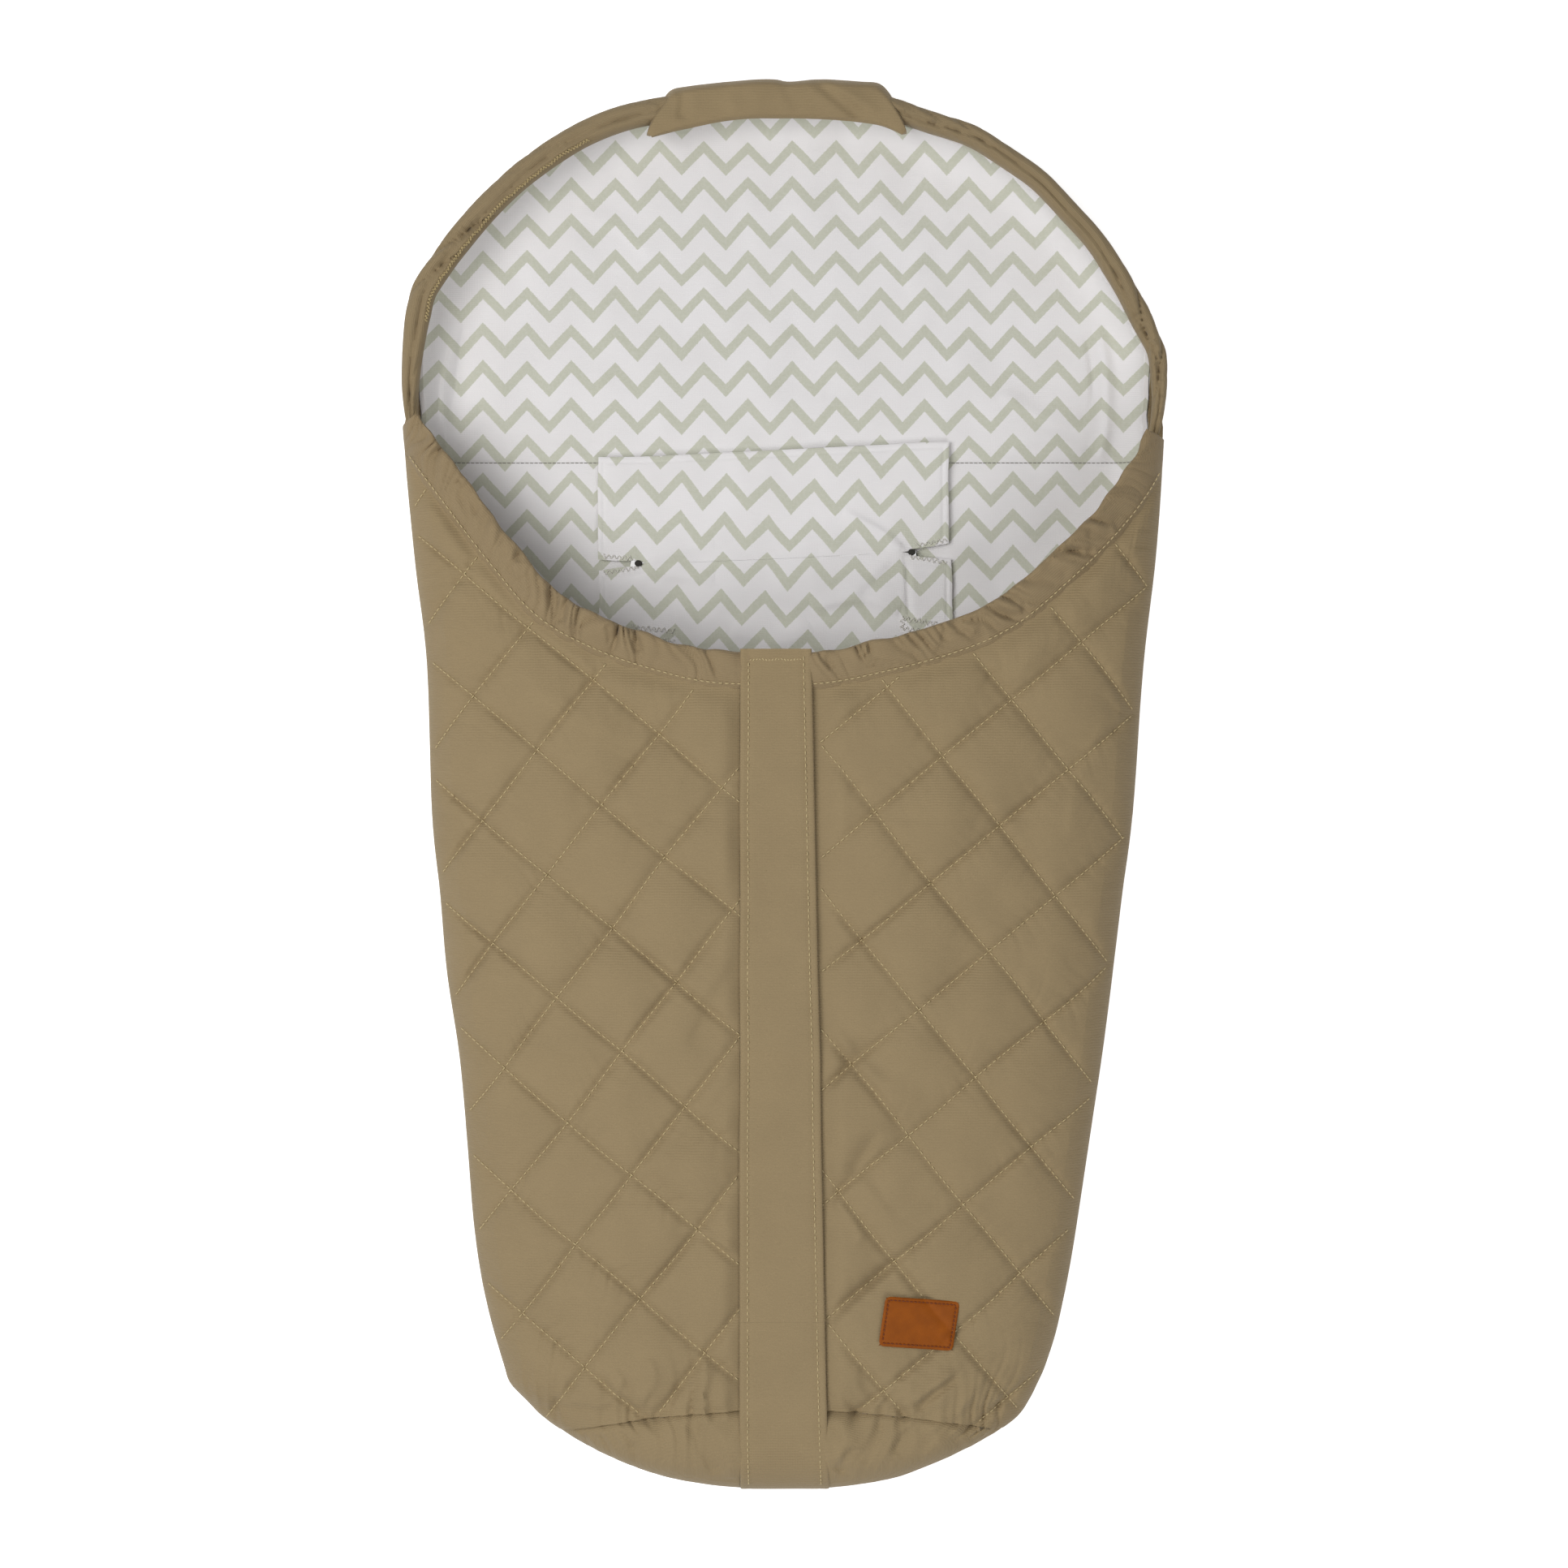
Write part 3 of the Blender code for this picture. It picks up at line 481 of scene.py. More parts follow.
def printed(name, shift):
    """White jersey printed with grey-green zigzag stripes."""
    mat, nodes, links, shader = new_material(name)
    x, y, place = cloth_place(nodes, links)
    drift = noise_on(nodes, links, place, 60.0, 1.0)
    moved = math_node(nodes, links, "MULTIPLY_ADD", drift, 5.0, -2.5 - shift[1])
    y = math_node(nodes, links, "ADD", y, moved)
    along = math_node(nodes, links, "MULTIPLY_ADD", x, 1 / ZIGZAG_PERIOD, -shift[0] / ZIGZAG_PERIOD)
    wave = math_node(nodes, links, "PINGPONG", along, 0.5)
    peak = math_node(nodes, links, "MULTIPLY", wave, -2 * ZIGZAG_RISE)
    row = math_node(nodes, links, "SUBTRACT", y, peak)
    from_line = math_node(nodes, links, "PINGPONG", row, ZIGZAG_PITCH / 2)
    ragged = noise_on(nodes, links, place, 1.1, 2.0)
    half = math_node(nodes, links, "MULTIPLY_ADD", ragged, 1.2, ZIGZAG_BAND / 2 - 0.6)
    edge = math_node(nodes, links, "SUBTRACT", half, from_line)
    share = math_node(nodes, links, "MULTIPLY_ADD", edge, 1.6, 0.5, clamp=True)
    faded = noise_on(nodes, links, place, 1.7, 3.0)
    ink = math_node(nodes, links, "MULTIPLY_ADD", faded, 0.45, 0.72)
    share = math_node(nodes, links, "MULTIPLY", share, ink, clamp=True)
    cloud = noise_on(nodes, links, place, 34.0, 2.0)
    white = mix_colour(nodes, links, cloud, srgb(234, 231, 231), srgb(243, 241, 242))
    links.new(mix_colour(nodes, links, share, white, srgb(202, 203, 187)), shader.inputs["Base Color"])
    knit = math_node(nodes, links, "SINE", math_node(nodes, links, "MULTIPLY", x, TURN / 0.9))
    rows = math_node(nodes, links, "SINE", math_node(nodes, links, "MULTIPLY", y, TURN / 1.2))
    bump_on(nodes, links, shader, math_node(nodes, links, "ADD", knit, rows), 0.00006, 0.4)
    shader.inputs["Roughness"].default_value = 0.95
    shader.inputs["Specular IOR Level"].default_value = 0.15
    shader.inputs["Sheen Weight"].default_value = 0.1
    return mat


def leather():
    """Tan leather with a pebbled grain and cloudy darker patches."""
    mat, nodes, links, shader = new_material("tan_leather")
    place = cloth_place(nodes, links)[2]
    cloud = noise_on(nodes, links, place, 9.0, 3.0)
    share = math_node(nodes, links, "MULTIPLY_ADD", cloud, 1.3, -0.15, clamp=True)
    tan = mix_colour(nodes, links, share, srgb(124, 62, 3), srgb(156, 82, 6))
    links.new(tan, shader.inputs["Base Color"])
    grain = nodes.new("ShaderNodeTexVoronoi")
    grain.inputs["Scale"].default_value = 1 / 0.8
    links.new(place, grain.inputs["Vector"])
    bump_on(nodes, links, shader, grain.outputs["Distance"], 0.00012, 0.35)
    shader.inputs["Roughness"].default_value = 0.6
    shader.inputs["Specular IOR Level"].default_value = 0.2
    return mat


OUTER = woven("taupe_poplin", srgb(152, 133, 100))
OUTER_BAND = woven("taupe_poplin_band", srgb(149, 130, 99), ribs=1.3)
PIPING = woven("taupe_jersey", srgb(148, 130, 99), ribs=1.0)
LINING = printed("zigzag_jersey", PRINT_SHIFT)
BACKING = woven("wadding_back", srgb(225, 222, 214), ribs=3.0)
THREAD = plain("sewing_thread", srgb(192, 174, 132), 0.75, grain=0.2)
PALE_THREAD = plain("overlock_thread", srgb(176, 157, 114), 0.8, grain=0.2)
WHITE_THREAD = plain("white_thread", srgb(225, 222, 214), 0.8, grain=0.1)
LEATHER = leather()
TAPE = woven("zip_tape", srgb(128, 112, 88), ribs=1.1)
COIL = plain("nylon_coil", srgb(118, 102, 80), 0.4, grain=0.1)
ZINC = plain("painted_zinc", srgb(120, 104, 80), 0.38, 0.35, grain=0.15)
HOOK = plain("hook_tape", srgb(226, 224, 217), 0.9, grain=0.35)
# Near-black colour: painted shadow for the holes at the harness notches.
SHADE = plain("painted_notch_shadow", srgb(48, 46, 42), 0.95, grain=0.2)
# Grey thread: a real seam thread whose dark grey also paints the seam's shadow line.
SEAM_SHADE = plain("seam_thread_painted_shadow", srgb(128, 126, 118), 0.9, grain=0.2)
LABEL_THREAD = plain("label_thread", srgb(104, 46, 14), 0.7, grain=0.2)


# The quilted front

# Per half: a crossing of the stitch lines and the two sides of a square, as the photograph shows them
QUILT = {
    -1: ((-0.1035, -0.0113), (0.0314, 0.0401), (0.0369, -0.0304)),
    1: ((0.0838, -0.0560), (0.0323, -0.0397), (0.0392, 0.0323)),
}
QUILT_SQUARE = (51 * MM, 48 * MM)
QUILT_THICK = 5.5 * MM
PUFF = 5.6 * MM
UNDER_PLACKET = 1.4 * MM
PULLED_FROM = 90 * MM
CHANNEL_EDGE = 12 * MM


def waver(x, y):
    """How far the sewn lines stray from straight."""
    return 1.3 * MM * wander(x, y, 0.07, 15.0), 1.3 * MM * wander(x, y, 0.07, 16.0)


def lattice(side, x, y):
    """Where a place lies on the quilting, counted in squares along both sides of a square."""
    (ox, oy), (ax, ay), (bx, by) = QUILT[side]
    dx, dy = waver(x, y)
    px, py = (x + dx) / TOP_SHRINK - ox, (y + dy) / TOP_SHRINK - oy
    det = ax * by - ay * bx
    return (px * by - py * bx) / det, (ax * py - ay * px) / det


def line_distance(value, size):
    """Distance in metres to the nearest stitch line of one family."""
    return np.abs(value - np.round(value)) * size


def pillow(a, b):
    """Height of the padding between stitch lines, 0 on a line and 1 in the middle of a square."""
    first, second = (np.sqrt(np.sin(math.pi * t) ** 2 + 0.0016) for t in (a, b))
    return (first * second) ** 0.45 - 0.04


def fold(x, y, line, width, height, skew=0.35):
    """A soft ridge or, with a height below zero, a crease along a line given in photograph pixels."""
    points = smooth_line([on_top(*p) for p in line], 8)
    shape = np.shape(x)
    at = np.stack([np.ravel(x), np.ravel(y)], axis=1)
    reach = 4 * width
    low, high = points.min(0) - reach, points.max(0) + reach
    near = np.where(np.all((at > low) & (at < high), axis=1))[0]
    out = np.zeros(len(at))
    if not len(near):
        return out.reshape(shape)
    best = np.full(len(near), 1e9)
    place = np.zeros(len(near))
    way = np.zeros(len(near))
    p = at[near]
    count = len(points) - 1
    for i in range(count):
        d = points[i + 1] - points[i]
        t = np.clip(((p - points[i]) @ d) / (d @ d), 0, 1)
        off = p - points[i] - t[:, None] * d
        dist = np.hypot(off[:, 0], off[:, 1])
        better = dist < best
        best[better] = dist[better]
        place[better] = (i + t[better]) / count
        way[better] = np.sign(d[0] * off[better, 1] - d[1] * off[better, 0])
    wide = width * (1 + skew * way)
    ends = np.clip(np.minimum(place, 1 - place) * 5, 0, 1) ** 0.7
    out[near] = height * np.exp(-((best / wide) ** 2)) * ends
    return out.reshape(shape)


def low_fold(x, y, line, width, height):
    """A fold of a piece that lies lower than the front, where the photograph shows it in its true place."""
    centre = np.array([PHOTO_X, PHOTO_Y])
    return fold(x, y, centre + (np.array(line) - centre) / TOP_SHRINK, width, height)


def gathers(along, across, pitch, depth, fade, seed):
    """Puckers square to a seam: along is the run of the seam, across the distance from it."""
    wobble = wander(along, across, 0.035, seed)
    turn = math.pi * (along / pitch + 0.9 * wobble)
    strength = 0.7 + 0.7 * wander(along, across * 0, 0.03, seed + 5)
    wave = 2.4 * np.abs(np.sin(turn)) ** 0.6 - 1.4 + 0.45 * np.cos(4.26 * turn + 1.7)
    return depth * strength * wave * np.exp(-np.abs(across) / fade)


def pleats(along, across, pitch, seed):
    """Uneven pleats with sharp creases between them, from -0.5 to 0.5."""
    wobble = 0.8 * wander(along, across * 0.5, 2.2 * pitch, seed)
    strength = np.clip(0.8 + 0.7 * wander(along, across * 0.2, 3 * pitch, seed + 7.3), 0.3, 1.1)
    return strength * (np.abs(np.sin(math.pi * (along / pitch + wobble))) ** 0.55 - 0.5)


SEAM_HELD = 0.7 * MM

# Folds and creases of the front: line in photograph pixels, half width and height in millimetres
FRONT_FOLDS = (
    (((910, 1180), (880, 1230), (850, 1290)), 5, -1.6),
    (((905, 1330), (870, 1380), (820, 1420)), 5, -1.4),
    (((1020, 1240), (1060, 1290), (1100, 1330)), 5, -1.5),
    (((1022, 1420), (1060, 1440), (1110, 1500)), 5, -1.5),
    (((788, 1441), (838, 1484), (896, 1532)), 4, -2.2),
    (((842, 1512), (872, 1522), (908, 1542)), 3, 1.8),
    (((1010, 1498), (1048, 1448), (1084, 1392)), 4, -2.4),
    (((1016, 1345), (1042, 1312), (1072, 1281)), 4, -2.0),
    (((1010, 1641), (1050, 1600), (1109, 1552)), 4, -2.4),
    (((1020, 1470), (1050, 1500), (1062, 1530)), 4, 1.8),
    (((1078, 1735), (1090, 1716), (1108, 1698)), 3, 2.2),
    (((1131, 1738), (1148, 1722), (1182, 1699)), 3, -2.6),
    (((1126, 1728), (1146, 1712), (1178, 1690)), 3, 2.2),
    (((1172, 1752), (1200, 1716), (1216, 1682)), 4, 2.0),
    (((860, 1724), (872, 1700), (868, 1668)), 4, 2.0),
    (((790, 1728), (806, 1700), (800, 1672)), 4, 1.8),
    (((735, 1742), (760, 1712), (770, 1690)), 4, 1.8),
    (((640, 1008), (760, 1010), (900, 1006)), 3, -0.5),
    (((1020, 1006), (1160, 1010), (1300, 1007)), 3, -0.5),
    (((640, 1482), (760, 1480), (900, 1482)), 3, -0.6),
    (((1022, 1481), (1120, 1483), (1280, 1480)), 3, -0.6),
    (((640, 820), (690, 870), (760, 900)), 7, 1.6),
    (((1340, 740), (1290, 790), (1240, 850)), 7, 1.6),
    (((560, 900), (610, 960), (640, 1040)), 6, 1.2),
    (((1370, 880), (1330, 960), (1320, 1040)), 6, 1.2),
)


def front_relief(side, x, y):
    """How far the quilting stands off the smooth front: padding, sunk stitch lines, puckers and folds."""
    a, b = lattice(side, x, y)
    size_a, size_b = QUILT_SQUARE
    puff = PUFF * (0.85 + 0.3 * wander(x, y, 0.07, 3.1 + side))
    height = puff * pillow(a, b)
    near_a, near_b = line_distance(a, size_a), line_distance(b, size_b)
    drawn = 1.25 * MM * (1 + 0.8 * wander(x, y, 0.05, 91.0 + side))
    beside = np.exp(-np.clip(np.abs(x) - 30 * MM, 0, 1) / (24 * MM))
    beside *= np.clip((PULLED_FROM - y) / (120 * MM), 0, 1)
    drawn += 1.5 * MM * beside * np.clip(0.7 + wander(x, y, 0.045, 95.0 + side), 0, 1.5)
    height -= drawn * (np.exp(-((near_a / (2.2 * MM)) ** 2)) + np.exp(-((near_b / (2.2 * MM)) ** 2)))
    height += gathers(b * size_b, near_a, 10 * MM, 0.45 * MM, 8 * MM, 11.0 + side)
    height += gathers(a * size_a, near_b, 10 * MM, 0.45 * MM, 8 * MM, 21.0 + side)
    rim = np.clip(seam_y(x) - y, 0, 1)
    height += gathers(x, rim, 12 * MM, 0.8 * MM, 14 * MM, 31.0 + side)
    height -= SEAM_HELD * np.exp(-rim / (4 * MM))
    toe = np.clip(y - TOE_SEAM_Y, 0, 1)
    height += gathers(x, toe, 13 * MM, 1.3 * MM, 18 * MM, 41.0 + side)
    height -= 2.8 * MM * np.exp(-toe / (4 * MM))
    edge = np.clip(half_width(side, y) - np.abs(x), 0, 1)
    height += gathers(y, edge, 14 * MM, 0.7 * MM, 22 * MM, 51.0 + side)
    height += 1.3 * MM * wander(x, y, 0.05, 61.0) + 0.8 * MM * wander(x, y, 0.021, 71.0)
    for line, width, rise in FRONT_FOLDS:
        height += fold(x, y, line, width * MM, rise * MM)
    height = (height + SEAM_HELD) * (1 - np.exp(-((rim / (9 * MM)) ** 2))) - SEAM_HELD
    height *= np.clip(edge / (14 * MM), 0.15, 1)
    under = np.clip((np.abs(x) - 20 * MM) / (14 * MM), 0, 1)
    under = under * under * (3 - 2 * under)
    return height * under - UNDER_PLACKET * (1 - under)


def columns_across(side, y, inner, outer_inset):
    """Places across the front, one to each y, closer together where it turns down to the side."""
    wide = half_width(side, y)
    power = EDGE_POWER / 2
    first = np.arcsin(np.clip(inner / wide, 0, 1) ** power)
    last = np.arcsin(np.clip((wide - outer_inset) / wide, 0, 1) ** power)
    turn = first + (last - first) * np.linspace(0, 1, y.shape[1])[None]
    return side * wide * np.sin(turn) ** (1 / power)


def front_grid(side, rows, count, inner, inset=0.0, drop=0.0):
    """Places of one half of the front from the lapel's lower end to drop below the rim's seam."""
    low = np.full((1, count), LAPEL_END_Y)
    high = np.full((1, count), HOOD_CORNER_Y)
    for _ in range(32):
        middle = (low + high) / 2
        under = middle < seam_y(columns_across(side, middle, inner, inset)) - drop
        low, high = np.where(under, middle, low), np.where(under, high, middle)
    y = LAPEL_END_Y + (low - LAPEL_END_Y) * np.linspace(0, 1, rows)[:, None]
    return columns_across(side, y, inner, inset), y


def across_crease(obj):
    """Bakes the piece's placement into its mesh."""
    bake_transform(obj)


SIDES = ((-1, "left"), (1, "right"))
STEP = 1.3 * MM


def facing_up(side, *grids):
    """The grids with their columns in the order that makes the faces look outwards."""
    return [g if side > 0 else g[:, ::-1] for g in grids]


def make_front():
    """Both quilted halves of the front, down to where the lapels end."""
    for side, word in SIDES:
        rows, count = int(380 * MM / STEP), int(260 * MM / STEP)
        x, y = front_grid(side, rows, count, CHANNEL_EDGE)
        z = front_z(x, y) + front_relief(side, x, y)
        x, y, z = facing_up(side, x, y, z)
        flat = np.stack([cloth_x(x, y), y], axis=-1)
        panel = cloth_mesh(f"front_quilt_{word}", x, y, z, flat, QUILT_THICK, [OUTER, BACKING])
        across_crease(panel)
        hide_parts(f"side_{word}_shell", f"side_{word}_wadding",
                    f"lapel_{word}_shell", f"lapel_{word}_wadding")


make_front()

# Sewn lines
STITCH_PITCH = 3.5 * MM
STITCH_LENGTH = 2.5 * MM
THREAD_RADIUS = 0.36 * MM
THREAD_LIFT = 0.45 * MM


def stitches(name, paths, finish, pitch=STITCH_PITCH, length=STITCH_LENGTH, radius=THREAD_RADIUS):
    """Thread along paths in space: each stitch comes out of the cloth and goes back in."""
    starts, ends = [], []
    for path in paths:
        run = run_along(path)
        if run[-1] < pitch:
            continue
        at = np.arange(0.5 * (pitch - length), run[-1] - length, pitch)
        for shift, out in ((0, starts), (length, ends)):
            out.append(np.stack([np.interp(at + shift, run, path[:, k]) for k in range(3)], axis=1))
    start, end = np.concatenate(starts), np.concatenate(ends)
    rings, around = (0, 0.18, 0.5, 0.82, 1), 6
    swell = (0.45, 0.95, 1.0, 0.95, 0.45)
    rise = (-0.9, 0.2, 0.55, 0.2, -0.9)
    along = end - start
    along /= np.maximum(np.linalg.norm(along, axis=1), 1e-9)[:, None]
    side = np.cross(along, (0, 0, 1))
    side /= np.maximum(np.linalg.norm(side, axis=1), 1e-9)[:, None]
    up = np.cross(side, along)
    turn = np.linspace(0, TURN, around, endpoint=False)
    verts = np.empty((len(start), len(rings), around, 3))
    for i, t in enumerate(rings):
        middle = start * (1 - t) + end * t + up * rise[i] * radius
        for j, angle in enumerate(turn):
            verts[:, i, j] = middle + swell[i] * radius * (math.cos(angle) * side + math.sin(angle) * up)
    index = np.arange(verts[..., 0].size).reshape(verts.shape[:3])
    after = np.roll(index, -1, axis=2)
    walls = np.stack([index[:, :-1], after[:, :-1], after[:, 1:], index[:, 1:]], axis=-1).reshape(-1, 4)
    faces = walls.tolist() + index[:, 0, ::-1].tolist() + index[:, -1].tolist()
    mesh = bpy.data.meshes.new(name)
    mesh.from_pydata(verts.reshape(-1, 3).tolist(), [], faces)
    mesh.materials.append(finish)
    mesh.shade_smooth()
    obj = new_object(name, mesh)
    return obj


def front_surface(side, x, y):
    """Places on the quilted surface."""
    return np.stack([x, y, front_z(x, y) + front_relief(side, x, y) + THREAD_LIFT], axis=-1)


def quilt_lines(side):
    """The quilting's sewn lines on one half, as places on the surface."""
    (ox, oy), first, second = (np.array(v) for v in QUILT[side])
    lines = []
    for fixed, moving in ((first, second), (second, first)):
        for k in range(-14, 15):
            t = np.linspace(-14, 14, 1400)
            plan = (np.array((ox, oy)) + k * fixed + t[:, None] * moving) * TOP_SHRINK
            x, y = plan[:, 0], plan[:, 1]
            dx, dy = waver(x, y)
            x, y = x - dx, y - dy
            wide = half_width(side, y)
            keep = (side * x > 20 * MM) & (side * x < wide - 4 * MM)
            keep &= (y < seam_y(x) - 1.5 * MM) & (y > toe_seam(np.clip(x / wide, -1, 1)) + 2 * MM)
            lines += unbroken(np.stack([x, y], axis=1), keep)
    return [front_surface(side, line[:, 0], line[:, 1]) for line in lines]


def unbroken(points, keep):
    """The stretches of points for which keep is true."""
    cuts = np.flatnonzero(np.diff(keep.astype(int))) + 1
    parts = np.split(np.arange(len(points)), cuts)
    return [points[part] for part in parts if len(part) > 6 and keep[part[0]]]


def split_at_lapel_end(lines):
    """The stretches above and below where the lapels end."""
    above, below = [], []
    for line in lines:
        above += unbroken(line, line[:, 1] > LAPEL_END_Y + 0.5 * MM)
        below += unbroken(line, line[:, 1] <= LAPEL_END_Y + 0.5 * MM)
    return above, below


# The toe below the zip
TOE_SEAM_BOW = 14.7 * MM
TOE_SEAM_REACH = 124 * MM
TOE_SEAM_STEP = 2.6 * MM


def toe_width(unit, y):
    """Half width of the toe at y, on the side of each column."""
    return np.where(unit < 0, half_width(-1, y), half_width(1, y))


def toe_seam(unit):
    """Where the seam over the toe crosses each column: it bows down towards the sides."""
    y = np.full(unit.shape, TOE_SEAM_Y)
    for _ in range(12):
        y = TOE_SEAM_Y - TOE_SEAM_BOW * (toe_width(unit, y) * unit / TOE_SEAM_REACH) ** 2
    return y


TOE_FOLDS = (
    (((870, 1742), (895, 1780), (902, 1826)), 6, 2.4),
    (((848, 1745), (866, 1790), (880, 1820)), 4, -1.6),
    (((1024, 1740), (1040, 1768), (1034, 1812)), 5, 2.6),
    (((1054, 1782), (1042, 1796), (1030, 1814)), 4, -2.6),
    (((1131, 1742), (1116, 1768), (1100, 1792)), 4, -2.2),
    (((1092, 1742), (1076, 1772), (1059, 1802)), 4, -1.6),
    (((735, 1745), (760, 1765), (775, 1785)), 5, 1.6),
    (((1180, 1755), (1160, 1775), (1140, 1800)), 5, 1.6),
)


def toe_columns(count):
    """Shares of the half width across the toe, from -1 to 1, closer together at the sides."""
    turn = np.linspace(-1, 1, count) * math.pi / 2
    return np.sign(turn) * np.abs(np.sin(turn)) ** (2 / EDGE_POWER)


def make_toe():
    """The front of the toe above its seam, and the gusset below it down to the back's edge."""
    made = []
    rows, count = int(60 * MM / STEP), int(420 * MM / STEP)
    unit = toe_columns(count)
    seam = toe_seam(unit)
    y = seam + (LAPEL_END_Y - seam) * np.linspace(0, 1, rows)[:, None]
    x = toe_width(unit, y) * unit
    relief = np.where(x < 0, front_relief(-1, x, y), front_relief(1, x, y))
    z = front_z(x, y) + relief
    flat = np.stack([cloth_x(x, y), y], axis=-1)
    front = cloth_mesh("toe_quilt", x, y, z, flat, QUILT_THICK, [OUTER])
    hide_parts("toe_front_shell", "toe_wadding")
    made.append(front)
    rows = int(90 * MM / STEP)
    turn = np.linspace(0, math.pi / 2, rows)[:, None]
    y = TOE_Y + (seam - TOE_Y) * (1 - np.cos(turn))
    x = toe_width(unit, y) * unit
    below = np.clip(seam - y, 0, 1)
    relief = gathers(x, below, 15 * MM, 1.4 * MM, 20 * MM, 81.0) - 2.6 * MM * np.exp(-below / (4 * MM))
    relief += 1.2 * MM * wander(x, y, 0.045, 82.0)
    relief += 2.2 * MM * np.exp(-(((below - 22 * MM) / (12 * MM)) ** 2))
    for line, width, rise in TOE_FOLDS:
        relief += fold(x, y, line, width * MM, rise * MM)
    lift = np.clip((front_z(x, y) - SEAM_Z) / (20 * MM), 0, 1)
    sewn_x = (toe_width(unit, seam) * unit)[None]
    sewn = np.where(sewn_x < 0, front_relief(-1, sewn_x, seam[None]), front_relief(1, sewn_x, seam[None]))
    held = np.exp(-((below / (5 * MM)) ** 2))
    tucked = TOE_SEAM_STEP * lift * np.exp(-((below / (2.2 * MM)) ** 2))
    z = front_z(x, y) + relief * lift * (1 - held) + sewn * held - tucked
    flat = np.stack([cloth_x(x, y), y - z], axis=-1)
    gusset = cloth_mesh("toe_gusset", x, y, z, flat, 4.5 * MM, [OUTER])
    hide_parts("toe_gusset_shell")
    made.append(gusset)
    for piece in made:
        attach(piece, "muff")


make_toe()


# The hood's edge in the photograph, from its left corner over the top to its right corner
HOOD_EDGE = (
    (500, 516), (497, 490), (496, 470), (496, 435), (500, 398), (506, 366), (511, 351), (524, 331),
    (546, 300), (577, 262), (606, 231), (642, 200),
    (694, 163), (745, 140), (800, 124), (880, 114), (966, 111), (1050, 114), (1105, 125),
    (1156, 141), (1208, 162), (1270, 200), (1304, 230), (1332, 260), (1365, 300), (1384, 330),
    (1401, 360), (1420, 396), (1433, 424), (1436, 440), (1435, 470), (1435, 490), (1432, 516),
)
HOOD_LINE = evenly(smooth_line([from_photo(*p) for p in HOOD_EDGE], 10), 520)
CASING_INSET = 8.2 * MM
CASING_LOW = CASING_BOX[0].z
CASING_TOP = CASING_BOX[1].z
RIM_END_SHARE = 0.34
RIM_TAPER = 68 * MM
RIM_INWARD_SHARES = (0.88, 0.88, 0.74, 0.74)
RIM_END_SLOPE = 26 * MM
RIM_TUCK = (3 * MM, 12 * MM)
OVERLOCK_IN = 1.5 * MM


def make_hood_rim():
    """The gathered casing round the hood, with its folded edge and long drawn wrinkles."""
    count = 1100
    first = HOOD_LINE[0] + np.array([RIM_TUCK[0], -RIM_TUCK[1]])
    last = HOOD_LINE[-1] - np.array(RIM_TUCK)
    path = evenly(softened(evenly(np.vstack([first, HOOD_LINE, last]), 530), 9), count)
    normals = line_normals(softened(path, 31))
    path = path - normals * CASING_INSET
    run = run_along(path)
    around = 40
    turn = np.linspace(0, TURN, around, endpoint=False)
    wide, tall = 8.0 * MM, (CASING_TOP - CASING_LOW) / 2
    middle = (CASING_TOP + CASING_LOW) / 2
    out = wide * np.sign(np.cos(turn)) * np.abs(np.cos(turn)) ** np.where(turn > math.pi, 0.3, 0.8)
    up = tall * np.sign(np.sin(turn)) * np.abs(np.sin(turn)) ** 0.9
    sections = np.stack([np.repeat(out[None], count, 0), np.repeat(up[None], count, 0)], axis=-1)
    grid_run = np.repeat(run[:, None], around, axis=1)
    grid_out = np.repeat(out[None], count, axis=0)
    slant = grid_run + 2.6 * grid_out
    broad = pleats(slant, grid_out, 32 * MM, 5.0)
    fine = pleats(slant, grid_out, 9 * MM, 6.0)
    slack = np.clip(0.6 + 0.7 * wander(grid_run, grid_out * 0, 0.09, 4.0), 0.15, 1.4)
    wave = (4.4 * broad + 0.9 * fine) * slack
    strays = 2.2 * MM * wander(grid_run, grid_out * 0, 0.06, 7.0)
    groove = np.exp(-(((grid_out + 1.5 * MM + strays) / (1.6 * MM)) ** 2))
    skirt = np.clip(np.sin(turn), 0, 1)[None, :]
    grow = (wave * MM - groove * 2.4 * MM) * skirt
    length = np.hypot(sections[..., 0], sections[..., 1])
    sections *= (1 + grow / length)[..., None]
    near_end = np.minimum(run, run[-1] - run)[:, None]
    inward = np.interp(run / run[-1], (0, 0.45, 0.55, 1), RIM_INWARD_SHARES)[:, None]
    narrowed = RIM_END_SHARE + (inward - RIM_END_SHARE) * np.clip(near_end / RIM_TAPER, 0, 1) ** 0.8
    sections[..., 0] = wide - (wide - sections[..., 0]) * narrowed
    sections[..., 1] *= RIM_END_SHARE + (1 - RIM_END_SHARE) * np.clip(near_end / RIM_END_SLOPE, 0, 1) ** 0.7
    sections[..., 0] += 0.7 * MM * wander(grid_run, grid_out * 0, 0.03, 8.0)
    sections[..., 1] += middle + 0.8 * MM * wander(grid_run, grid_out * 0, 0.05, 9.0)
    inner_edge = path + normals * (wide - 2 * wide * narrowed + OVERLOCK_IN)
    places = np.empty((count, around, 3))
    places[..., :2] = path[:, None] + normals[:, None] * sections[..., :1]
    places[..., 2] = sections[..., 1]
    rim = ring_mesh("hood_rim", places, grid_run, PIPING)
    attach(rim, "muff")
    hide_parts("hood_rim_casing", "hood_rim_elastic")
    return rim, inner_edge


HOOD_RIM, RIM_INSIDE = make_hood_rim()


# The gathered band along the front's rim


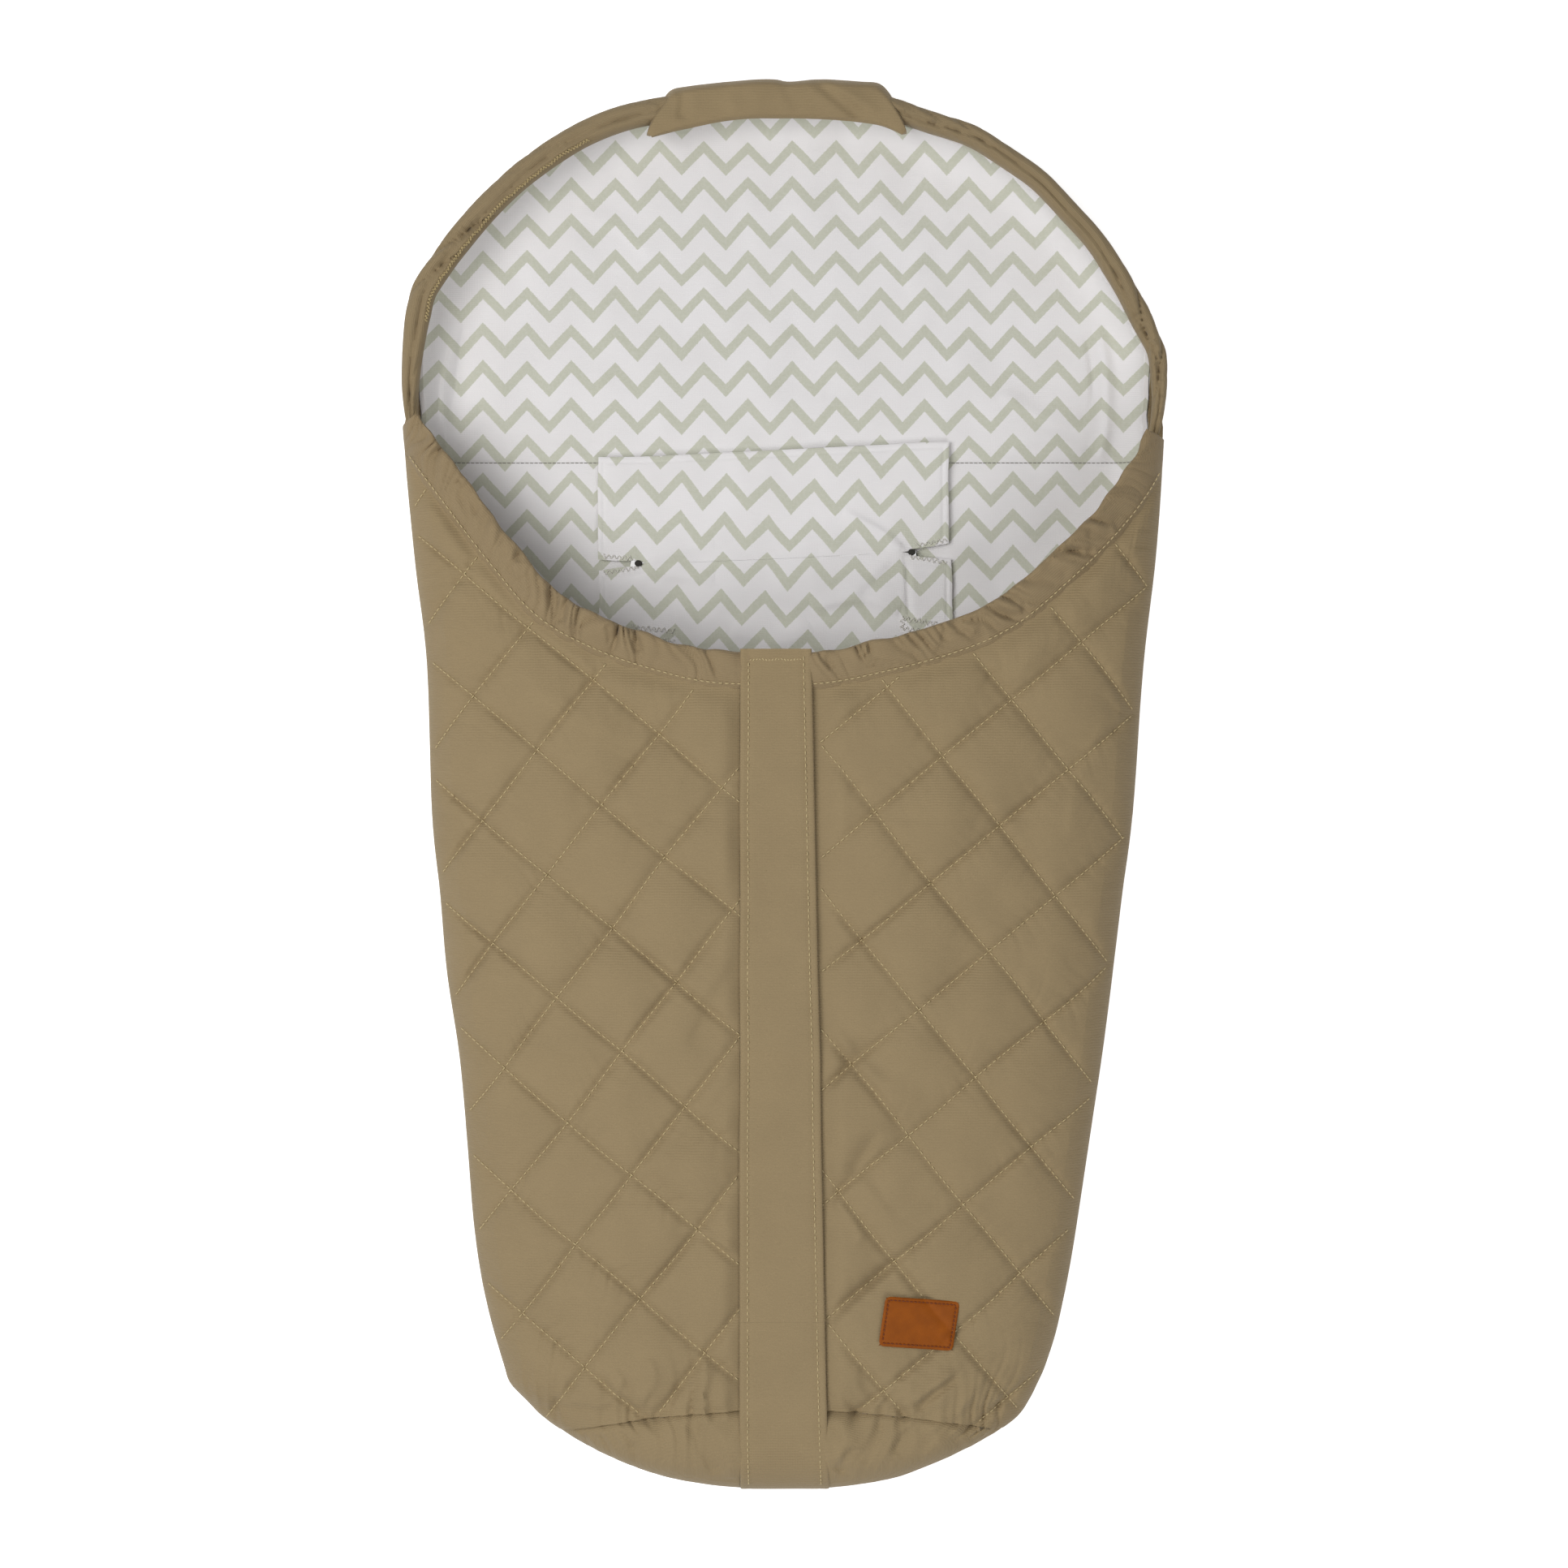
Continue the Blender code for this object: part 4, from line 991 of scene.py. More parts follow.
def band_side(side):
    """The part of the band's seam line on one side of the middle, from the middle outwards."""
    keep = side * RIM_SEAM[:, 0] >= CHANNEL_EDGE
    seam, normal = RIM_SEAM[keep], RIM_NORMAL[keep]
    if side < 0:
        seam, normal = seam[::-1], normal[::-1]
    wide = half_width(side, seam[:, 1])
    inside = (np.abs(seam[:, 0]) < wide + 6 * MM) & (seam[:, 1] < HOOD_CORNER_Y - 2 * MM)
    return seam[inside], normal[inside]


BESIDE_FLAP = {"left": 20 * MM, "right": 13 * MM}
# Creases of the band: line in photograph pixels, half width and height in millimetres
BAND_FOLDS = (
    (((587, 613), (584, 622), (582, 632)), 2.5, -2.0),
    (((568, 616), (566, 632), (572, 646)), 4, 1.4),
    (((604, 640), (606, 662), (616, 680)), 4, 1.5),
    (((635, 672), (637, 682), (639, 692)), 2.5, -2.2),
    (((628, 672), (632, 694), (640, 712)), 3.5, 1.7),
    (((669, 718), (679, 736), (689, 766)), 3.5, -1.6),
    (((703, 732), (692, 752), (690, 768)), 3, -2.2),
    (((712, 742), (704, 756), (700, 772)), 3.5, 1.8),
    (((747, 770), (750, 780), (752, 792)), 2.5, -2.2),
    (((741, 764), (748, 778), (758, 792)), 3, 1.5),
    (((784, 784), (782, 794), (786, 804)), 2.5, -1.8),
    (((1019, 804), (1022, 816), (1026, 824)), 3, -1.8),
    (((1115, 778), (1124, 790), (1134, 800)), 3, -1.8),
    (((1140, 784), (1148, 792), (1154, 800)), 3, 1.6),
    (((1165, 774), (1162, 784), (1161, 792)), 2.5, -1.6),
    (((1168, 763), (1184, 776), (1203, 787), (1217, 780)), 3, -2.2),
    (((1178, 762), (1193, 774), (1202, 780)), 3, 1.6),
    (((1213, 749), (1236, 757), (1255, 757), (1270, 750)), 3, -2.2),
    (((1222, 743), (1247, 749), (1260, 751)), 3, 1.6),
    (((1283, 691), (1299, 703), (1318, 711)), 3.5, -1.8),
    (((1312, 672), (1327, 678), (1339, 682), (1352, 680)), 3, -2.2),
    (((1314, 666), (1331, 671), (1342, 679)), 3, 1.9),
    (((1339, 657), (1354, 661), (1374, 654)), 3, -2.2),
    (((1344, 640), (1362, 650), (1378, 648)), 4, 1.4),
)


# One ring round the band: shares of its width across, and how far it stands up
BAND_RING_SHARES = np.concatenate([
    [-0.16, -0.08], np.linspace(0, 0.86, 14), [0.93, 0.975, 1.0, 0.985, 0.95], np.linspace(0.88, -0.06, 8),
])
BAND_CROWN = -0.4 + 2.7 * np.sin(np.clip(np.linspace(0, 1, 14) * 2.4, 0, math.pi / 2)) ** 0.8
BAND_RISE = np.concatenate([[-3.0, -1.6], BAND_CROWN, [2.0, 1.2, -0.2, -1.5, -2.5], np.full(8, -3.6)]) * MM


def make_rim_bands():
    """The elasticated band on both sides, puckered along its length."""
    made = {}
    for side, word in SIDES:
        seam, normal = band_side(side)
        count = 520
        both = evenly(np.hstack([seam, normal]), count)
        seam, normal = both[:, :2], both[:, 2:]
        run = run_along(seam)
        across, lift = BAND_RING_SHARES, BAND_RISE
        upper = (lift > -1.8 * MM) & (np.arange(len(across)) < 20)
        grid_run = np.repeat(run[:, None], len(across), axis=1)
        grid_out = np.repeat(across[None] * RIM_WIDTH, count, axis=0)
        slant = grid_run + side * 0.7 * grid_out + 7 * MM * wander(grid_run, grid_out, 0.02, 99.4)
        broad = pleats(slant, grid_out, 21 * MM, 101.0 + side)
        fine = pleats(slant, grid_out, 8 * MM, 102.0 + side)
        slack = 0.85 + 0.6 * wander(grid_run, grid_out * 0, 0.07, 104.0 + side)
        pucker = (6.2 * broad + 3.2 * fine) * np.clip(slack, 0.5, 1.3)
        pucker *= np.clip(0.3 + 0.8 * across[None], 0, 1)
        pucker *= np.clip((np.abs(seam[:, 0]) - BESIDE_FLAP[word]) / (8 * MM), 0.1, 1)[:, None]
        edge_wobble = 1.3 * MM * wander(grid_run, grid_out * 0, 0.016, 105.0 + side) * across[None] ** 2
        x = seam[:, 0, None] + normal[:, 0, None] * (grid_out + edge_wobble)
        y = seam[:, 1, None] + normal[:, 1, None] * (grid_out + edge_wobble)
        wide = half_width(side, y) - 0.4 * MM
        x = side * np.clip(side * x, 0, wide)
        creases = sum(fold(x, y, line, width * MM, rise * MM) for line, width, rise in BAND_FOLDS)
        z = front_z(x, y) + lift[None] + np.where(upper, pucker * MM + creases, 0)
        z = np.maximum(z, SEAM_Z + np.where(upper, 2 * MM, 0) - 1 * MM)
        verts = np.stack([x, y, z], axis=-1)
        band = ring_mesh(f"rim_band_{word}", verts, grid_run, OUTER_BAND)
        across_crease(band)
        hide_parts(f"side_{word}_rim_hem", f"side_{word}_rim_elastic",
                    f"lapel_{word}_rim_hem", f"lapel_{word}_rim_elastic")
        made[word] = band
    return made


BANDS = make_rim_bands()


def plan_to_path(points, z):
    """Places in plan at one height, or at a height per place."""
    return np.column_stack([points, np.broadcast_to(z, len(points))])


def surface_height(obj, plan, reach):
    """The highest point of a mesh within reach of each place in plan."""
    points = np.zeros(len(obj.data.vertices) * 3)
    obj.data.vertices.foreach_get("co", points)
    points = points.reshape(-1, 3)
    heights = []
    for x, y in plan:
        away = np.hypot(points[:, 0] - x, points[:, 1] - y)
        near = points[away < reach, 2]
        heights.append(near.max() if len(near) else points[np.argmin(away), 2])
    return np.array(heights)


def make_front_stitches():
    """The quilting's thread and the line along the rim band."""
    toe_lines = []
    for side, word in SIDES:
        above, below = split_at_lapel_end(quilt_lines(side))
        toe_lines += below
        quilting = stitches(f"quilting_thread_{word}", above, THREAD)
        across_crease(quilting)
        seam, normal = band_side(side)
        seam = seam + normal * 1.6 * MM
        seam = seam[np.abs(seam[:, 0]) < half_width(side, seam[:, 1]) - 2 * MM]
        path = plan_to_path(seam, softened(surface_height(BANDS[word], seam, 1.5 * MM)[:, None], 5)[:, 0])
        line = stitches(f"rim_thread_{word}", [path], THREAD)
        across_crease(line)
    toe = stitches("toe_quilting_thread", toe_lines, THREAD)
    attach(toe, "muff")


make_front_stitches()

# The printed lining inside

LIP_ROUND = 30 * MM
LINING_INSET = 9.2 * MM
BACK_LINING_DEPTH = 12.1 * MM
BODY_LINE = np.concatenate([
    np.stack([-EDGES[-1][:, 1], EDGES[-1][:, 0]], axis=1)[EDGES[-1][:, 0] < HOOD_LINE[0, 1]],
    HOOD_LINE,
    np.stack([EDGES[1][:, 1], EDGES[1][:, 0]], axis=1)[EDGES[1][:, 0] < HOOD_LINE[-1, 1]][::-1],
])
BODY_LINE = evenly(BODY_LINE, 700)


def inside_depth(x, y):
    """Distance from the body's edge, seen from above."""
    points = np.stack([np.ravel(x), np.ravel(y)], axis=1)
    out = np.empty(len(points))
    for i in range(0, len(points), 4000):
        part = points[i:i + 4000]
        out[i:i + 4000] = np.hypot(*(part[:, None] - BODY_LINE[None]).transpose(2, 0, 1)).min(1)
    return out.reshape(np.shape(x))


def bowl_z(x, y, inset):
    """Height of a layer of the back that lies inset inside its outer face."""
    radius = LIP_ROUND - inset
    q = np.clip((LIP_ROUND - inside_depth(x, y)) / radius, 0, 1)
    return SEAM_Z - radius * np.sqrt(1 - q**2)


INNER_LINE = BODY_LINE - line_normals(softened(BODY_LINE, 25)) * LINING_INSET


def inner_width(side, y, line=INNER_LINE):
    """Distance from the middle to a line round the body, on one side at y."""
    top = np.argmax(line[:, 1])
    half = line[:top + 1] if side < 0 else line[top:][::-1]
    return side * np.interp(y, half[:, 1], half[:, 0])


def across_body(y, unit, line):
    """Places across the body at each y, out to a line round it; unit runs from -1 to 1."""
    left, right = inner_width(-1, y[:, 0], line), inner_width(1, y[:, 0], line)
    return np.where(unit[None] < 0, left[:, None], right[:, None]) * unit[None]


def layer_grid(low, high, rows, count, line):
    """Places over the body between two y, out to a line round it."""
    share = np.sin(np.linspace(0, 1, rows) * math.pi / 2)
    y = np.repeat((low + (high - low) * share)[:, None], count, axis=1)
    return y, across_body(y, np.sin(np.linspace(-1, 1, count) * math.pi / 2), line)


def printed_flat(x, y, z):
    """The place on the printed cloth, as the photograph shows it from above."""
    grow = (CAMERA_Z - SEAM_Z) / (CAMERA_Z - z)
    return np.stack([x * grow, y * grow + 0.9 * MM * wander(x, y, 0.045, 207.0)], axis=-1)


LINING_FOLDS = (
    (((548, 400), (536, 450), (534, 500), (540, 556)), 3, 2.2),
    (((560, 380), (552, 440), (550, 520)), 2, -1.6),
    (((1362, 380), (1374, 430), (1376, 500), (1366, 556)), 3, 2.4),
    (((1350, 400), (1358, 460), (1352, 540)), 2, -1.6),
    (((1240, 470), (1290, 500), (1345, 505)), 4, 1.6),
    (((1250, 540), (1300, 528), (1350, 545)), 4, 1.4),
    (((700, 240), (760, 262), (800, 300)), 5, 1.0),
    (((1180, 250), (1140, 290), (1120, 340)), 5, 1.0),
    (((620, 560), (660, 540), (720, 552)), 4, 1.2),
)
LOWEST_WRINKLE = -0.9 * MM
SEAM_DIP = 1.2 * MM


def lining_relief(x, y):
    """Wrinkles of the loose lining."""
    height = 1.3 * MM * wander(x, y, 0.06, 201.0) + 0.8 * MM * wander(x, y, 0.022, 202.0)
    depth = inside_depth(x, y)
    around = wander(np.arctan2(y - 0.2, x) * 0.2, depth * 0.3, 0.012, 203.0)
    height += 0.8 * MM * around * np.exp(-depth / (30 * MM))
    for line, width, rise in LINING_FOLDS:
        height += fold(x, y, line, width * MM, rise * MM)
    return np.maximum(height, LOWEST_WRINKLE)


HOOD_LINING_CUT = (0.455, 0.262)
BACK_LINING_CUT = (0.455, 0.60)


def make_linings():
    """The hood's lining, the back's lining below it and the seam between them."""
    top = INNER_LINE[:, 1].max() - 0.5 * MM
    size = 1.5 * MM
    rows, count = int(220 * MM / size), int(420 * MM / size)
    y, x = layer_grid(HOOD_SEAM_Y, top, rows, count, INNER_LINE)
    z = bowl_z(x, y, BACK_LINING_DEPTH) + lining_relief(x, y)
    z -= SEAM_DIP * np.exp(-(y - HOOD_SEAM_Y) / (2.2 * MM))
    hood = cloth_mesh("hood_lining_print", x, y, z, printed_flat(x, y, z), 1.2 * MM, [LINING])
    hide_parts("hood_lining")
    rows = int(560 * MM / size / 1.6)
    low = INNER_LINE[:, 1].min() + 0.5 * MM
    y, x = layer_grid(HOOD_SEAM_Y - 0.1 * MM, low, rows, count, INNER_LINE)
    x, y = x[::-1], y[::-1]
    z = bowl_z(x, y, BACK_LINING_DEPTH) + lining_relief(x, y)
    z -= SEAM_DIP * np.exp(-(HOOD_SEAM_Y - y) / (2.2 * MM))
    back = cloth_mesh("back_lining_print", x, y, z, printed_flat(x, y, z), 1.2 * MM, [LINING],
                      slotted=True)
    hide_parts("back_lining")
    for piece, cut in ((hood, HOOD_LINING_CUT), (back, BACK_LINING_CUT)):
        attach(piece, "muff")


make_linings()


# The storm flap over the zip

PLACKET_EDGES = (
    (799, 912, 1000), (900, 912, 1002), (1000, 911, 1004), (1100, 912, 1006), (1200, 911, 1008),
    (1300, 912, 1011), (1400, 911, 1012), (1500, 911, 1014), (1600, 911, 1016), (1700, 911, 1018),
    (1780, 911, 1020), (1832, 912, 1022),
)
PLACKET_STITCH_IN = 4.6 * MM
FLAP_HALF_THICK = 1.1 * MM
# One ring round the flap: shares of its width across, and of its half thickness up
FLAP_RING_SHARES = np.concatenate([
    [0.02, 0.005, 0.0, 0.006, 0.02, 0.045], np.linspace(0.07, 0.93, 26),
    [0.955, 0.98, 0.994, 1.0, 0.995, 0.98], np.linspace(0.95, 0.05, 12),
])
FLAP_RISE_SHARES = np.concatenate([
    [-0.95, -0.5, -0.1, 0.45, 0.8, 0.95], np.ones(26),
    [0.95, 0.8, 0.45, -0.1, -0.5, -0.95], np.full(12, -1.0),
])


def placket_limits(y):
    """Left and right edge of the storm flap at y."""
    rows = [(on_top(0, py)[1], on_top(left, 0)[0], on_top(right, 0)[0]) for py, left, right in PLACKET_EDGES]
    at, left, right = np.array(rows)[::-1].T
    return np.interp(y, at, left), np.interp(y, at, right)


def placket_wave(x, y):
    """Slow waves of the storm flap's cloth."""
    wave = 0.8 * wander(x * 0.6, y, 0.05, 301.0) + 0.35 * wander(x, y * 0.5, 0.018, 302.0)
    return wave * 0.7 * MM


def placket_piece(name, low, high):
    """A stretch of the storm flap: two layers of cloth with rounded edges and shallow stitch lines."""
    rows = int((high - low) / (1.6 * MM))
    y = np.linspace(low, high, rows)
    left, right = placket_limits(y)
    x = left[:, None] + (right - left)[:, None] * FLAP_RING_SHARES[None]
    spread = np.repeat(y[:, None], len(FLAP_RING_SHARES), axis=1)
    from_left = np.abs(x - left[:, None] - PLACKET_STITCH_IN)
    from_right = np.abs(right[:, None] - x - PLACKET_STITCH_IN)
    groove = np.exp(-((from_left / (1.2 * MM)) ** 2)) + np.exp(-((from_right / (1.2 * MM)) ** 2))
    pucker = np.exp(-from_left / (5 * MM)) + np.exp(-from_right / (5 * MM))
    fine = pucker * wander(x * 0.2, spread, 0.006, 303.0) * 0.35
    upper = (FLAP_RISE_SHARES > 0)[None]
    base = PLACKET_TOP - 0.6 * MM - FRONT_TOP + front_z(np.zeros_like(x), spread)
    z = base + FLAP_RISE_SHARES[None] * FLAP_HALF_THICK + placket_wave(x, spread)
    z += np.where(upper, (fine - 0.55 * groove) * MM, 0)
    piece = ring_mesh(name, np.stack([x, spread, z], axis=-1), spread, OUTER)
    write_cloth(piece.data, np.stack([x, spread], axis=-1))
    return piece


def hang_on_lapel(obj):
    """Bakes the piece's placement into its mesh."""
    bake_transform(obj)


def make_placket():
    """The storm flap, sewn down along its left edge, and its stretch over the toe."""
    top = on_top(0, PLACKET_EDGES[0][0])[1]
    main = placket_piece("storm_flap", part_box("placket")[0].y, top)
    hang_on_lapel(main)
    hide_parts("placket")
    toe = placket_piece("storm_flap_toe", TOE_Y + 0.6 * MM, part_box("placket")[0].y - 0.05 * MM)
    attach(toe, "muff")
    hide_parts("placket_toe")


make_placket()


# The pocket at the head end
POCKET_EDGE = (
    (797, 167), (800, 156), (806, 140), (814, 128), (826, 112), (846, 107), (900, 101), (950, 98), (973, 101),
    (1010, 98), (1060, 101), (1082, 103), (1094, 113), (1104, 130), (1113, 150), (1117, 165),
)
POCKET_LOW = ((804, 173), (850, 162), (905, 152), (966, 150), (1030, 152), (1080, 158), (1111, 170))
POCKET_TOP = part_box("head_pocket")[1].z
POCKET_FOLDS = (
    (((835, 112), (842, 130), (838, 152)), 3.0, -1.8),
    (((1000, 102), (1030, 128), (1062, 152)), 4.0, -2.0),
    (((1010, 102), (1044, 124), (1080, 146)), 3.0, 1.4),
    (((905, 104), (900, 125), (908, 148)), 4.0, 0.9),
    (((960, 100), (970, 120), (985, 146)), 4.0, -0.9),
)


def make_pocket():
    """The flat pocket folded over the hood's rim at the head end."""
    count = 90
    upper = evenly(smooth_line([from_photo(*p) for p in POCKET_EDGE], 10), count)
    lower = evenly(smooth_line([from_photo(*p) for p in POCKET_LOW], 10), count)
    rows = 34
    share = np.linspace(0, 1, rows)[:, None, None]
    plan = lower[None] * (1 - share) + upper[None] * share
    x, y = plan[..., 0], plan[..., 1]
    v = share[..., 0]
    u = np.linspace(0, 1, count)[None]
    bulge = 2.2 * MM * np.sin(math.pi * v) ** 0.6 * np.sin(math.pi * u) ** 0.3
    z = POCKET_TOP - 2.0 * MM + bulge
    z -= 13 * MM * np.clip((v - 0.72) / 0.28, 0, 1) ** 2.2
    z -= 2 * MM * np.clip((0.1 - np.minimum(u, 1 - u)) / 0.1, 0, 1) ** 2
    z -= 3.0 * MM * np.clip((0.06 - v) / 0.06, 0, 1)
    z += 1.0 * MM * wander(x, y, 0.028, 401.0) + 0.5 * MM * wander(x, y, 0.012, 402.0)
    for line, width, rise in POCKET_FOLDS:
        z += low_fold(x, y, line, width * MM, rise * MM)
    flat = np.stack([x, y], axis=-1)
    pocket = cloth_mesh("head_pocket_cloth", x, y, z, flat, 2.2 * MM, [OUTER])
    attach(pocket, "muff")
    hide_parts("head_pocket")


make_pocket()

# The leather label
LABEL_GIVE = 0.22
LABEL_LIFT = 2.7 * MM
LABEL_STITCH_IN = 1.9 * MM
LABEL_CORNER = 3.2 * MM
LABEL_CORNERS = ((1091, 1595), (1183, 1604), (1174, 1665), (1082, 1656))


def label_place():
    """The label's middle, its directions across and up, and its half sizes."""
    tl, tr, br, bl = (np.array(on_top(*p)) for p in LABEL_CORNERS)
    half_x, half_y = np.linalg.norm(tr - tl) / 2, np.linalg.norm(tl - bl) / 2
    return (tl + tr + br + bl) / 4, (tr - tl) / (2 * half_x), (tl - bl) / (2 * half_y), half_x, half_y


def make_label():
    """A bare leather label with rounded corners, lying on the quilting."""
    middle, across, up, half_x, half_y = label_place()
    count, rows = 84, 56
    u = np.linspace(-1, 1, count)[None] * np.ones((rows, 1))
    v = np.linspace(-1, 1, rows)[:, None] * np.ones((1, count))
    px, py = u * half_x, v * half_y
    over_x = np.clip(np.abs(px) - half_x + LABEL_CORNER, 0, None)
    over_y = np.clip(np.abs(py) - half_y + LABEL_CORNER, 0, None)
    shrink = np.maximum(over_x, over_y) / np.maximum(np.hypot(over_x, over_y), 1e-9)
    px = np.sign(px) * (np.abs(px) - over_x + over_x * shrink)
    py = np.sign(py) * (np.abs(py) - over_y + over_y * shrink)
    x = middle[0] + px * across[0] + py * up[0]
    y = middle[1] + px * across[1] + py * up[1]
    base = front_z(x, y) + front_relief(1, x, y)
    flat_terms = np.stack([np.ones(base.size), x.ravel(), y.ravel()], axis=1)
    level = (flat_terms @ np.linalg.lstsq(flat_terms, base.ravel(), rcond=None)[0]).reshape(base.shape)
    smooth = level + (base - level) * LABEL_GIVE
    edge = np.minimum(half_x - np.abs(px), half_y - np.abs(py))
    z = smooth + LABEL_LIFT - 0.25 * MM * np.exp(-((edge - LABEL_STITCH_IN) / (0.7 * MM)) ** 2)
    z -= 0.7 * MM * np.clip(1 - edge / (1.0 * MM), 0, 1) ** 2
    flat = np.stack([px, py], axis=-1)
    label = cloth_mesh("leather_label_piece", x, y, z, flat, 1.6 * MM, [LEATHER])
    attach(label, "muff")
    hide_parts("leather_label")
    return label


LABEL = make_label()

# The back: outer cloth and wadding
BACK_THICK = 8.6 * MM


def back_face(line, inset):
    """Places over one face of the back, out to a line round it."""
    size = 4 * MM
    low, high = line[:, 1].min() + 0.3 * MM, line[:, 1].max() - 0.3 * MM
    rows, count = int(790 * MM / size), int(560 * MM / size)
    share = (1 - np.cos(np.linspace(0, 1, rows) * math.pi)) / 2
    y = np.repeat((low + (high - low) * share)[:, None], count, axis=1)
    x = across_body(y, np.sin(np.linspace(1, -1, count) * math.pi / 2), line)
    return x, y, bowl_z(x, y, inset)


def make_back():
    """The outer back with its rounded lip."""
    x, y, z = back_face(BODY_LINE, 0)
    z = z + 0.3 * MM * (1 + wander(x, y, 0.05, 501.0))
    inner_line = BODY_LINE - line_normals(softened(BODY_LINE, 25)) * BACK_THICK
    inner = np.stack(back_face(inner_line, BACK_THICK), axis=-1)
    flat = np.stack([x, y], axis=-1)
    back = cloth_mesh("back_outer", x, y, z, flat, 0, [OUTER, BACKING], inner, True)
    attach(back, "muff")
    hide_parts("back_shell", "back_wadding")


make_back()


# Plates with rounded edges


def rounded_plate(name, outline, low, high, bevel, finish):
    """A plate with a smooth outline in plan and rounded edges."""
    bm = bmesh.new()
    verts = [bm.verts.new((x, y, low)) for x, y in outline]
    face = bm.faces.new(verts)
    made = bmesh.ops.extrude_face_region(bm, geom=[face])
    raised = [v for v in made["geom"] if isinstance(v, bmesh.types.BMVert)]
    bmesh.ops.translate(bm, vec=(0, 0, high - low), verts=raised)
    bmesh.ops.recalc_face_normals(bm, faces=bm.faces)
    mesh = bpy.data.meshes.new(name)
    bm.to_mesh(mesh)
    bm.free()
    mesh.materials.append(finish)
    mesh.shade_smooth()
    obj = new_object(name, mesh)
    edge = obj.modifiers.new("edge", "BEVEL")
    edge.width = bevel
    edge.segments = 3
    edge.limit_method = "ANGLE"
    edge.angle_limit = math.radians(50)
    return obj


def plan_of(low, high):
    """The middle and the half size of a box, seen from above."""
    return ((low.x + high.x) / 2, (low.y + high.y) / 2), ((high.x - low.x) / 2, (high.y - low.y) / 2)


def superellipse(middle, half, power, count=48):
    """A rounded outline in plan."""
    turn = np.linspace(0, TURN, count, endpoint=False)
    unit = np.stack([np.cos(turn), np.sin(turn)], axis=1)
    return np.array(middle) + np.array(half) * np.sign(unit) * np.abs(unit) ** (2 / power)


# The harness panel and the flap above it, in photograph pixels
FLAP_TOP_EDGE = (
    (735, 560), (800, 559), (860, 556), (920, 553), (1000, 549), (1080, 545), (1130, 542), (1170, 541),
)
FLAP_LOW_EDGE = (
    (735, 687), (762, 689), (783, 688.5), (796, 691), (860, 690), (960, 686),
    (1060, 681), (1113, 678), (1127, 674), (1148, 671), (1171, 667),
)
PANEL_TOP_EDGE = (
    (736, 701), (762, 697), (783, 695), (796, 691.2), (860, 690.2), (960, 686.2),
    (1060, 681.2), (1113, 678.2), (1127, 682), (1148, 685), (1174, 687),
)
NOTCH_SHARE = 0.14
PANEL_LOW_EDGE = ((737, 922), (800, 922), (860, 922), (960, 922), (1060, 922), (1120, 922), (1176, 922))
PANEL_TURN = math.radians(-2.6)
PANEL_PEAK = from_photo(786, 585.5)
PANEL_PRINT_SHARE = 0.967
PANEL_FOLDS = (
    (((1118, 682), (1090, 655), (1040, 628)), 4, 1.6),
    (((1112, 672), (1070, 668), (1010, 676)), 4, 1.0),
    (((1106, 690), (1080, 716), (1060, 735)), 5, -1.0),
    (((790, 694), (830, 706), (880, 712)), 5, 1.2),
    (((790, 688), (840, 676), (880, 668)), 5, 0.9),
    (((1000, 748), (1060, 735), (1110, 752)), 5, 1.5),
    (((900, 775), (960, 790), (1000, 770)), 6, 1.0),
    (((1118, 690), (1119, 730), (1121, 760)), 2, -1.0),
)
PANEL_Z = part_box("harness_flap")[1].z


def panel_cloth(name, upper, lower, thickness, hemmed):
    """A printed sheet between two edges in photograph pixels, hemmed along its top or only at the notches."""
    count, rows = 300, 110
    top = evenly(smooth_line([from_photo(*p) for p in upper], 12), count)
    foot = evenly(smooth_line([from_photo(*p) for p in lower], 12), count)
    share = np.linspace(0, 1, rows)[:, None, None]
    plan = foot[None] * (1 - share) + top[None] * share
    x, y = plan[..., 0], plan[..., 1]
    u, v = np.linspace(0, 1, count)[None], share[..., 0]
    x = x + 0.5 * MM * wander(x, y, 0.02, 601.0) * (np.minimum(u, 1 - u) < 0.03)
    z = PANEL_Z + 0.9 * MM * wander(x, y, 0.04, 602.0) + 0.4 * MM * wander(x, y, 0.015, 603.0)
    for line, width, rise in PANEL_FOLDS:
        z += low_fold(x, y, line, width * MM, rise * MM)
    from_side = np.minimum(u, 1 - u)
    from_top = (1 - v) * 60 * MM + (0 if hemmed else 40 * MM) * (from_side > NOTCH_SHARE)
    edge = np.minimum(from_side * 200 * MM, from_top)
    z -= 0.9 * MM * np.exp(-((edge - 3.2 * MM) / (0.9 * MM)) ** 2) * 0.5
    z -= 0.6 * MM * np.exp(-edge / (0.8 * MM))
    grow = (CAMERA_Z - SEAM_Z) / (CAMERA_Z - z)
    dx, dy = x * grow - PANEL_PEAK[0], y * grow - PANEL_PEAK[1]
    turn_x = dx * math.cos(PANEL_TURN) + dy * math.sin(PANEL_TURN)
    turn_y = dy * math.cos(PANEL_TURN) - dx * math.sin(PANEL_TURN)
    flat = np.stack([turn_x + PRINT_SHIFT[0] * MM, turn_y * PANEL_PRINT_SHARE + PRINT_SHIFT[1] * MM], axis=-1)
    flat[..., 1] += 1.3 * MM * wander(x, y, 0.03, 604.0)
    obj = cloth_mesh(name, x, y, z, flat, thickness, [LINING])
    return obj
